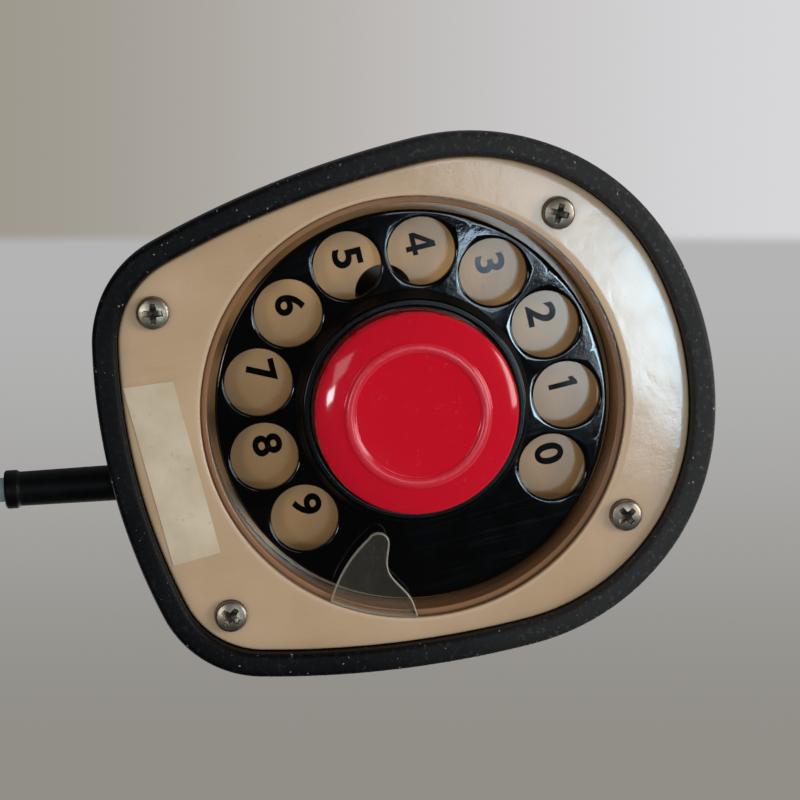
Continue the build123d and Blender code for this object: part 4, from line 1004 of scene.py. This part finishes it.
def stopRows(s):
    # the outline, drawn in at the top and the bottom as its edge rounds
    loop = stopLoop(s)
    half = s["thickness"] / 2
    rows = []
    for t in np.linspace(0, math.pi, 12):
        inner = insetLoop(loop, s["edge"] * (1 - math.sin(t) ** 0.6))
        height = s["back"] - half + half * math.cos(t)
        rows.append(np.column_stack([inner, np.full(len(inner), height)]))
    return np.stack(rows) * mm


stopSheet = stopRows(stop)
glass = Surface("clearPlastic")
smear = glass.noise(160, 3, 0.6)
dusting = glass.noise(1300, 3, 0.6).above(0.56, 0.7) * smear.above(0.35, 0.65)
# painted highlight: the rounded edges of the clear tongue paler and mostly opaque, as a clear edge
# looks when it catches light
brinkHighlight = abs(glass.dot(glass.normal(), (0, 0, 1))).below(0.72, 0.97)
glassMaterial = glass.finish(
    Base_Color=glass.layered((150, 142, 126), ((176, 168, 152), brinkHighlight)),
    Roughness=smear * 0.2 + 0.08,
    Alpha=brinkHighlight * 0.6 + dusting * 0.1 + smear * 0.03 + 0.03,
    IOR=1.47,
    Normal=glass.bump(smear, 0.05, 0.0006),
)
build(
    "fingerStop", [closed(stopSheet)], glassMaterial, "phone", ["finger_stop"], 50,
    polygons=[stopSheet[0], stopSheet[-1]],
)
print("finger stop made")

# number plate keeps its solid; plain digits stand behind the holes
digits = {
    "tall": 5.6, "widen": 1.12, "swell": 0.3, "radius": 28.9, "first": -52.6, "pitch": 27.8,
    "centre": (-1.2, -0.7), "face": 11.9, "proud": 0.03,
}
ivory = Surface("numberPlate")
film = ivory.noise(45, 3, 0.6)
pits = ivory.noise(900, 3, 0.6)
brushed = ivory.noise(1500, 2, 0.6, ivory.place((0.03, 1, 1)))  # fine lines along X
ivoryColour = ivory.layered(
    (190, 149, 100),
    ((178, 135, 86), film.above(0.35, 0.7)),
    ((112, 88, 64), pits.above(0.66, 0.76) * 0.4),
)
ivoryMaterial = ivory.finish(
    Base_Color=ivoryColour,
    Roughness=film * 0.1 + 0.15,
    Specular_IOR_Level=0.5,
    Coat_Weight=film.above(0.3, 0.7) * 0.05 + 0.06,
    Coat_Roughness=0.19,
    Coat_IOR=2.0,
    Normal=ivory.bump(pits * 0.3 + brushed * 0.6, 0.05, 0.0003),
)
ink = Surface("digitInk")
fleck = ink.noise(900, 3, 0.6).above(0.5, 0.75)
inkMaterial = ink.finish(
    Base_Color=ink.layered((7, 6, 6), ((22, 20, 18), fleck)),
    Roughness=ink.noise(300) * 0.08 + 0.06,
    Specular_IOR_Level=0.24,
)
# the 1 and the 4 are laid out as flat pieces, since the type's own are too plain or close up
drawn = {
    1: [((-0.5, 0), (0.5, 0), (0.5, 5.6), (-0.15, 5.6), (-1.2, 4.9), (-1.2, 4.0), (-0.5, 4.3))],
    4: [
        ((2.1, 0), (3.1, 0), (3.1, 5.6), (2.1, 5.6)),
        ((-0.3, 1.1), (2.1, 1.1), (2.1, 2.05), (-0.3, 2.05)),
        ((3.1, 1.1), (3.95, 1.1), (3.95, 2.05), (3.1, 2.05)),
        ((-0.3, 2.05), (0.85, 2.05), (2.1, 4.1), (2.1, 5.6)),
    ],
}
work = bmesh.new()
for number in range(10):
    if number in drawn:
        flatMesh = bpy.data.meshes.new("digit")
        shapes = drawn[number]
        starts = np.cumsum([0] + [len(shape) for shape in shapes])
        faces = [list(range(start, start + len(shape))) for start, shape in zip(starts, shapes)]
        flatMesh.from_pydata([(x, y, 0) for shape in shapes for x, y in shape], [], faces)
    else:
        words = bpy.data.curves.new("digit", "FONT")
        words.body = str(number)
        words.offset = digits["swell"] / digits["tall"] * 0.5
        words.resolution_u = 8
        holder = linked("digit", words)
        made = holder.evaluated_get(bpy.context.evaluated_depsgraph_get())
        flatMesh = bpy.data.meshes.new_from_object(made)
        bpy.data.objects.remove(holder)
    spots = np.empty(len(flatMesh.vertices) * 3, np.float32)
    flatMesh.vertices.foreach_get("co", spots)
    spots = spots.reshape(-1, 3)[:, :2].astype(float)
    low, high = spots.min(0), spots.max(0)
    widen = 1 if number in drawn else digits["widen"]
    size = digits["tall"] / (high - low)[1] * np.array([widen, 1])
    angle = math.radians(digits["first"] - digits["pitch"] * number)
    middle = ringLoop(digits["radius"], angle, 0)[:2] + digits["centre"]
    spots = (spots - (low + high) / 2) * size * [1, -1] + middle
    height = digits["face"] - digits["proud"]
    points = np.column_stack([spots, np.full(len(spots), height)]) * mm
    flatMesh.vertices.foreach_set("co", points.ravel())
    work.from_mesh(flatMesh)
for face in work.faces:
    face.normal_update()
    if face.normal.z > 0:
        face.normal_flip()
digitMesh = bpy.data.meshes.new("plateDigits")
work.to_mesh(digitMesh)
work.free()
digitPiece = linked("plateDigits", digitMesh)
digitMesh.materials.append(inkMaterial)
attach(digitPiece, "phone")
print("digits made")

# paper label, left bare; its coat stands for the clear tape over it
label = {
    "corners": ((-17.2, 51.1), (-16.2, 41.9), (17.2, 41.3), (17.5, 50.4)), "face": 2.6,
    "thickness": 0.12, "columns": 48, "rows": 14, "curl": 0.05, "ripples": (23, 4), "bow": 3.1,
}
across = np.linspace(0, 1, label["columns"])[None, :, None]
downward = np.linspace(0, 1, label["rows"])[:, None, None]
topStart, lowStart, lowEnd, topEnd = (np.array(corner) for corner in label["corners"])
sheet = between(between(topStart, topEnd, across), between(lowStart, lowEnd, across), downward)
phase = across * label["ripples"][0] + downward * label["ripples"][1]
wave = label["curl"] * np.sin(phase) * np.sin(downward * label["bow"])
top = np.concatenate([sheet, label["face"] - label["thickness"] + wave * 0.6], -1)
under = np.concatenate([sheet, label["face"] + 0 * wave], -1)


def border(grid):
    return np.concatenate([grid[0], grid[1:, -1], grid[-1, -2::-1], grid[-2::-1, 0]])


edge = np.stack([border(top), border(under)])
paper = Surface("labelPaper")
fibre = paper.noise(600, 4, 0.6)
yellowing = paper.noise(70, 3, 0.6)
crease = paper.noise(30, 3, 0.6, paper.place((1, 5, 1)), 1.5)
paperColour = paper.layered(
    (202, 184, 156),
    ((184, 163, 132), yellowing.above(0.35, 0.7)),
    ((150, 130, 104), fibre.above(0.6, 0.75) * 0.4),
)
paperMaterial = paper.finish(
    Base_Color=paperColour,
    Roughness=fibre * 0.15 + 0.5,
    Coat_Weight=crease.above(0.3, 0.6) * 0.2 + 0.5,
    Coat_Roughness=0.14,
    Normal=paper.bump(crease * 0.5 + fibre * 0.05, 0.15, 0.0008),
)
labelSheets = [top * mm, under * mm, edge * mm]
build("paperLabel", labelSheets, paperMaterial, "phone", (), 30)
print("label made")

# shell and ear cap keep their solids under a glossy moulded finish
shell = Surface("shellPlastic")
bloom = shell.noise(18, 3, 0.55)
micro = shell.noise(900, 3, 0.6)
spots = shell.noise(520, 2, 0.5).above(0.69, 0.74)
rub = shell.scratches(90, 0.7, 0.012) + shell.scratches(120, 2.0, 0.012)
# darker and mottled towards the bottom of the shell
lowDarkening = shell.parts()[2].below(0.006, 0.02) * shell.noise(160, 4, 0.6).above(0.35, 0.7)
shellColour = shell.layered(
    (196, 191, 179),
    ((188, 182, 169), bloom.above(0.35, 0.7)),
    ((150, 138, 118), spots * 0.4 + lowDarkening * 0.3),
)
shellMaterial = shell.finish(
    Base_Color=shellColour,
    Roughness=bloom * 0.08 + rub * 0.06 + 0.2,
    Normal=shell.bump(bloom * 0.6 + micro * 0.05 - rub * 0.02, 0.05, 0.0015),
)


# finishes of the other pieces that keep their solids
def plainFinish(name, first, second, rough, metallic=0.0, grain=500):
    surface = Surface(name)
    fleck = surface.noise(grain, 3, 0.6)
    drift = surface.noise(60, 3, 0.6)
    worn = drift.above(0.35, 0.7) * 0.7 + fleck.above(0.6, 0.75) * 0.3
    return surface.finish(
        Base_Color=surface.layered(first, (second, worn)),
        Metallic=metallic,
        Roughness=fleck * 0.15 + rough,
        Normal=surface.bump(fleck, 0.1, 0.0003),
    )


finishes = {  # two tones, roughness, metal and grain
    "plated_steel": ((196, 194, 186), (160, 157, 148), 0.22, 1.0),
    "spring_steel": ((150, 150, 152), (118, 118, 120), 0.28, 1.0),
    "brass": ((206, 168, 96), (170, 132, 70), 0.26, 1.0),
    "capsule_metal": ((178, 178, 176), (150, 149, 146), 0.32, 1.0),
    "core_iron": ((92, 88, 84), (66, 62, 58), 0.45, 0.9),
    "white_plastic": ((226, 223, 212), (208, 203, 188), 0.35),
    "phenolic": ((98, 62, 38), (72, 44, 28), 0.42),
    "winding": ((168, 96, 50), (128, 70, 36), 0.38, 0.3, 1400),
}
madeFinishes = {
    slot: plainFinish(slot.replace("_", ""), *values) for slot, values in finishes.items()
}
madeFinishes.update({
    "shell": shellMaterial, "base": tanMaterial, "black_plastic": blackMaterial,
    "foot_rubber": soleMaterial, "red_plastic": redMaterial, "number_plate": ivoryMaterial,
    "clear_plastic": glassMaterial, "screw_steel": steelMaterial, "boot_rubber": bootMaterial,
    "cord_jacket": cordMaterial, "plug_plastic": plugMaterial,
})
for part in frame["record"]["subparts"]:
    node = frame["nodes"][part["node"]]
    for place in node.material_slots:
        place.material = madeFinishes[part["material_slot"]]
print("solids finished")

# return spring: a coil seated under the dial wheel
spring = {"turns": 4, "wire": 0.00044, "steps": 32, "sides": 8, "travel": 0.0045}
springLow, springHigh = (np.array(corner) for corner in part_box("plunger_spring"))
wire, springRise = spring["wire"], springHigh[2] - springLow[2]
along = np.linspace(0, 1, spring["turns"] * spring["steps"] + 1)[:, None]
section = fullTurn(spring["sides"])[None]
climb = springLow[2] + wire + along * (springRise - 2 * wire) + wire * np.sin(section)
coilReach = springHigh[0] - wire + wire * np.cos(section)
springGrid = ringLoop(coilReach, along * spring["turns"] * 2 * math.pi, climb)
springPiece = build(
    "returnSpring", [springGrid], madeFinishes["spring_steel"], "phone",
    ["plunger_spring"], polygons=[springGrid[0, :-1], springGrid[-1, :-1]],
)
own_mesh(springPiece)
print("return spring coiled")
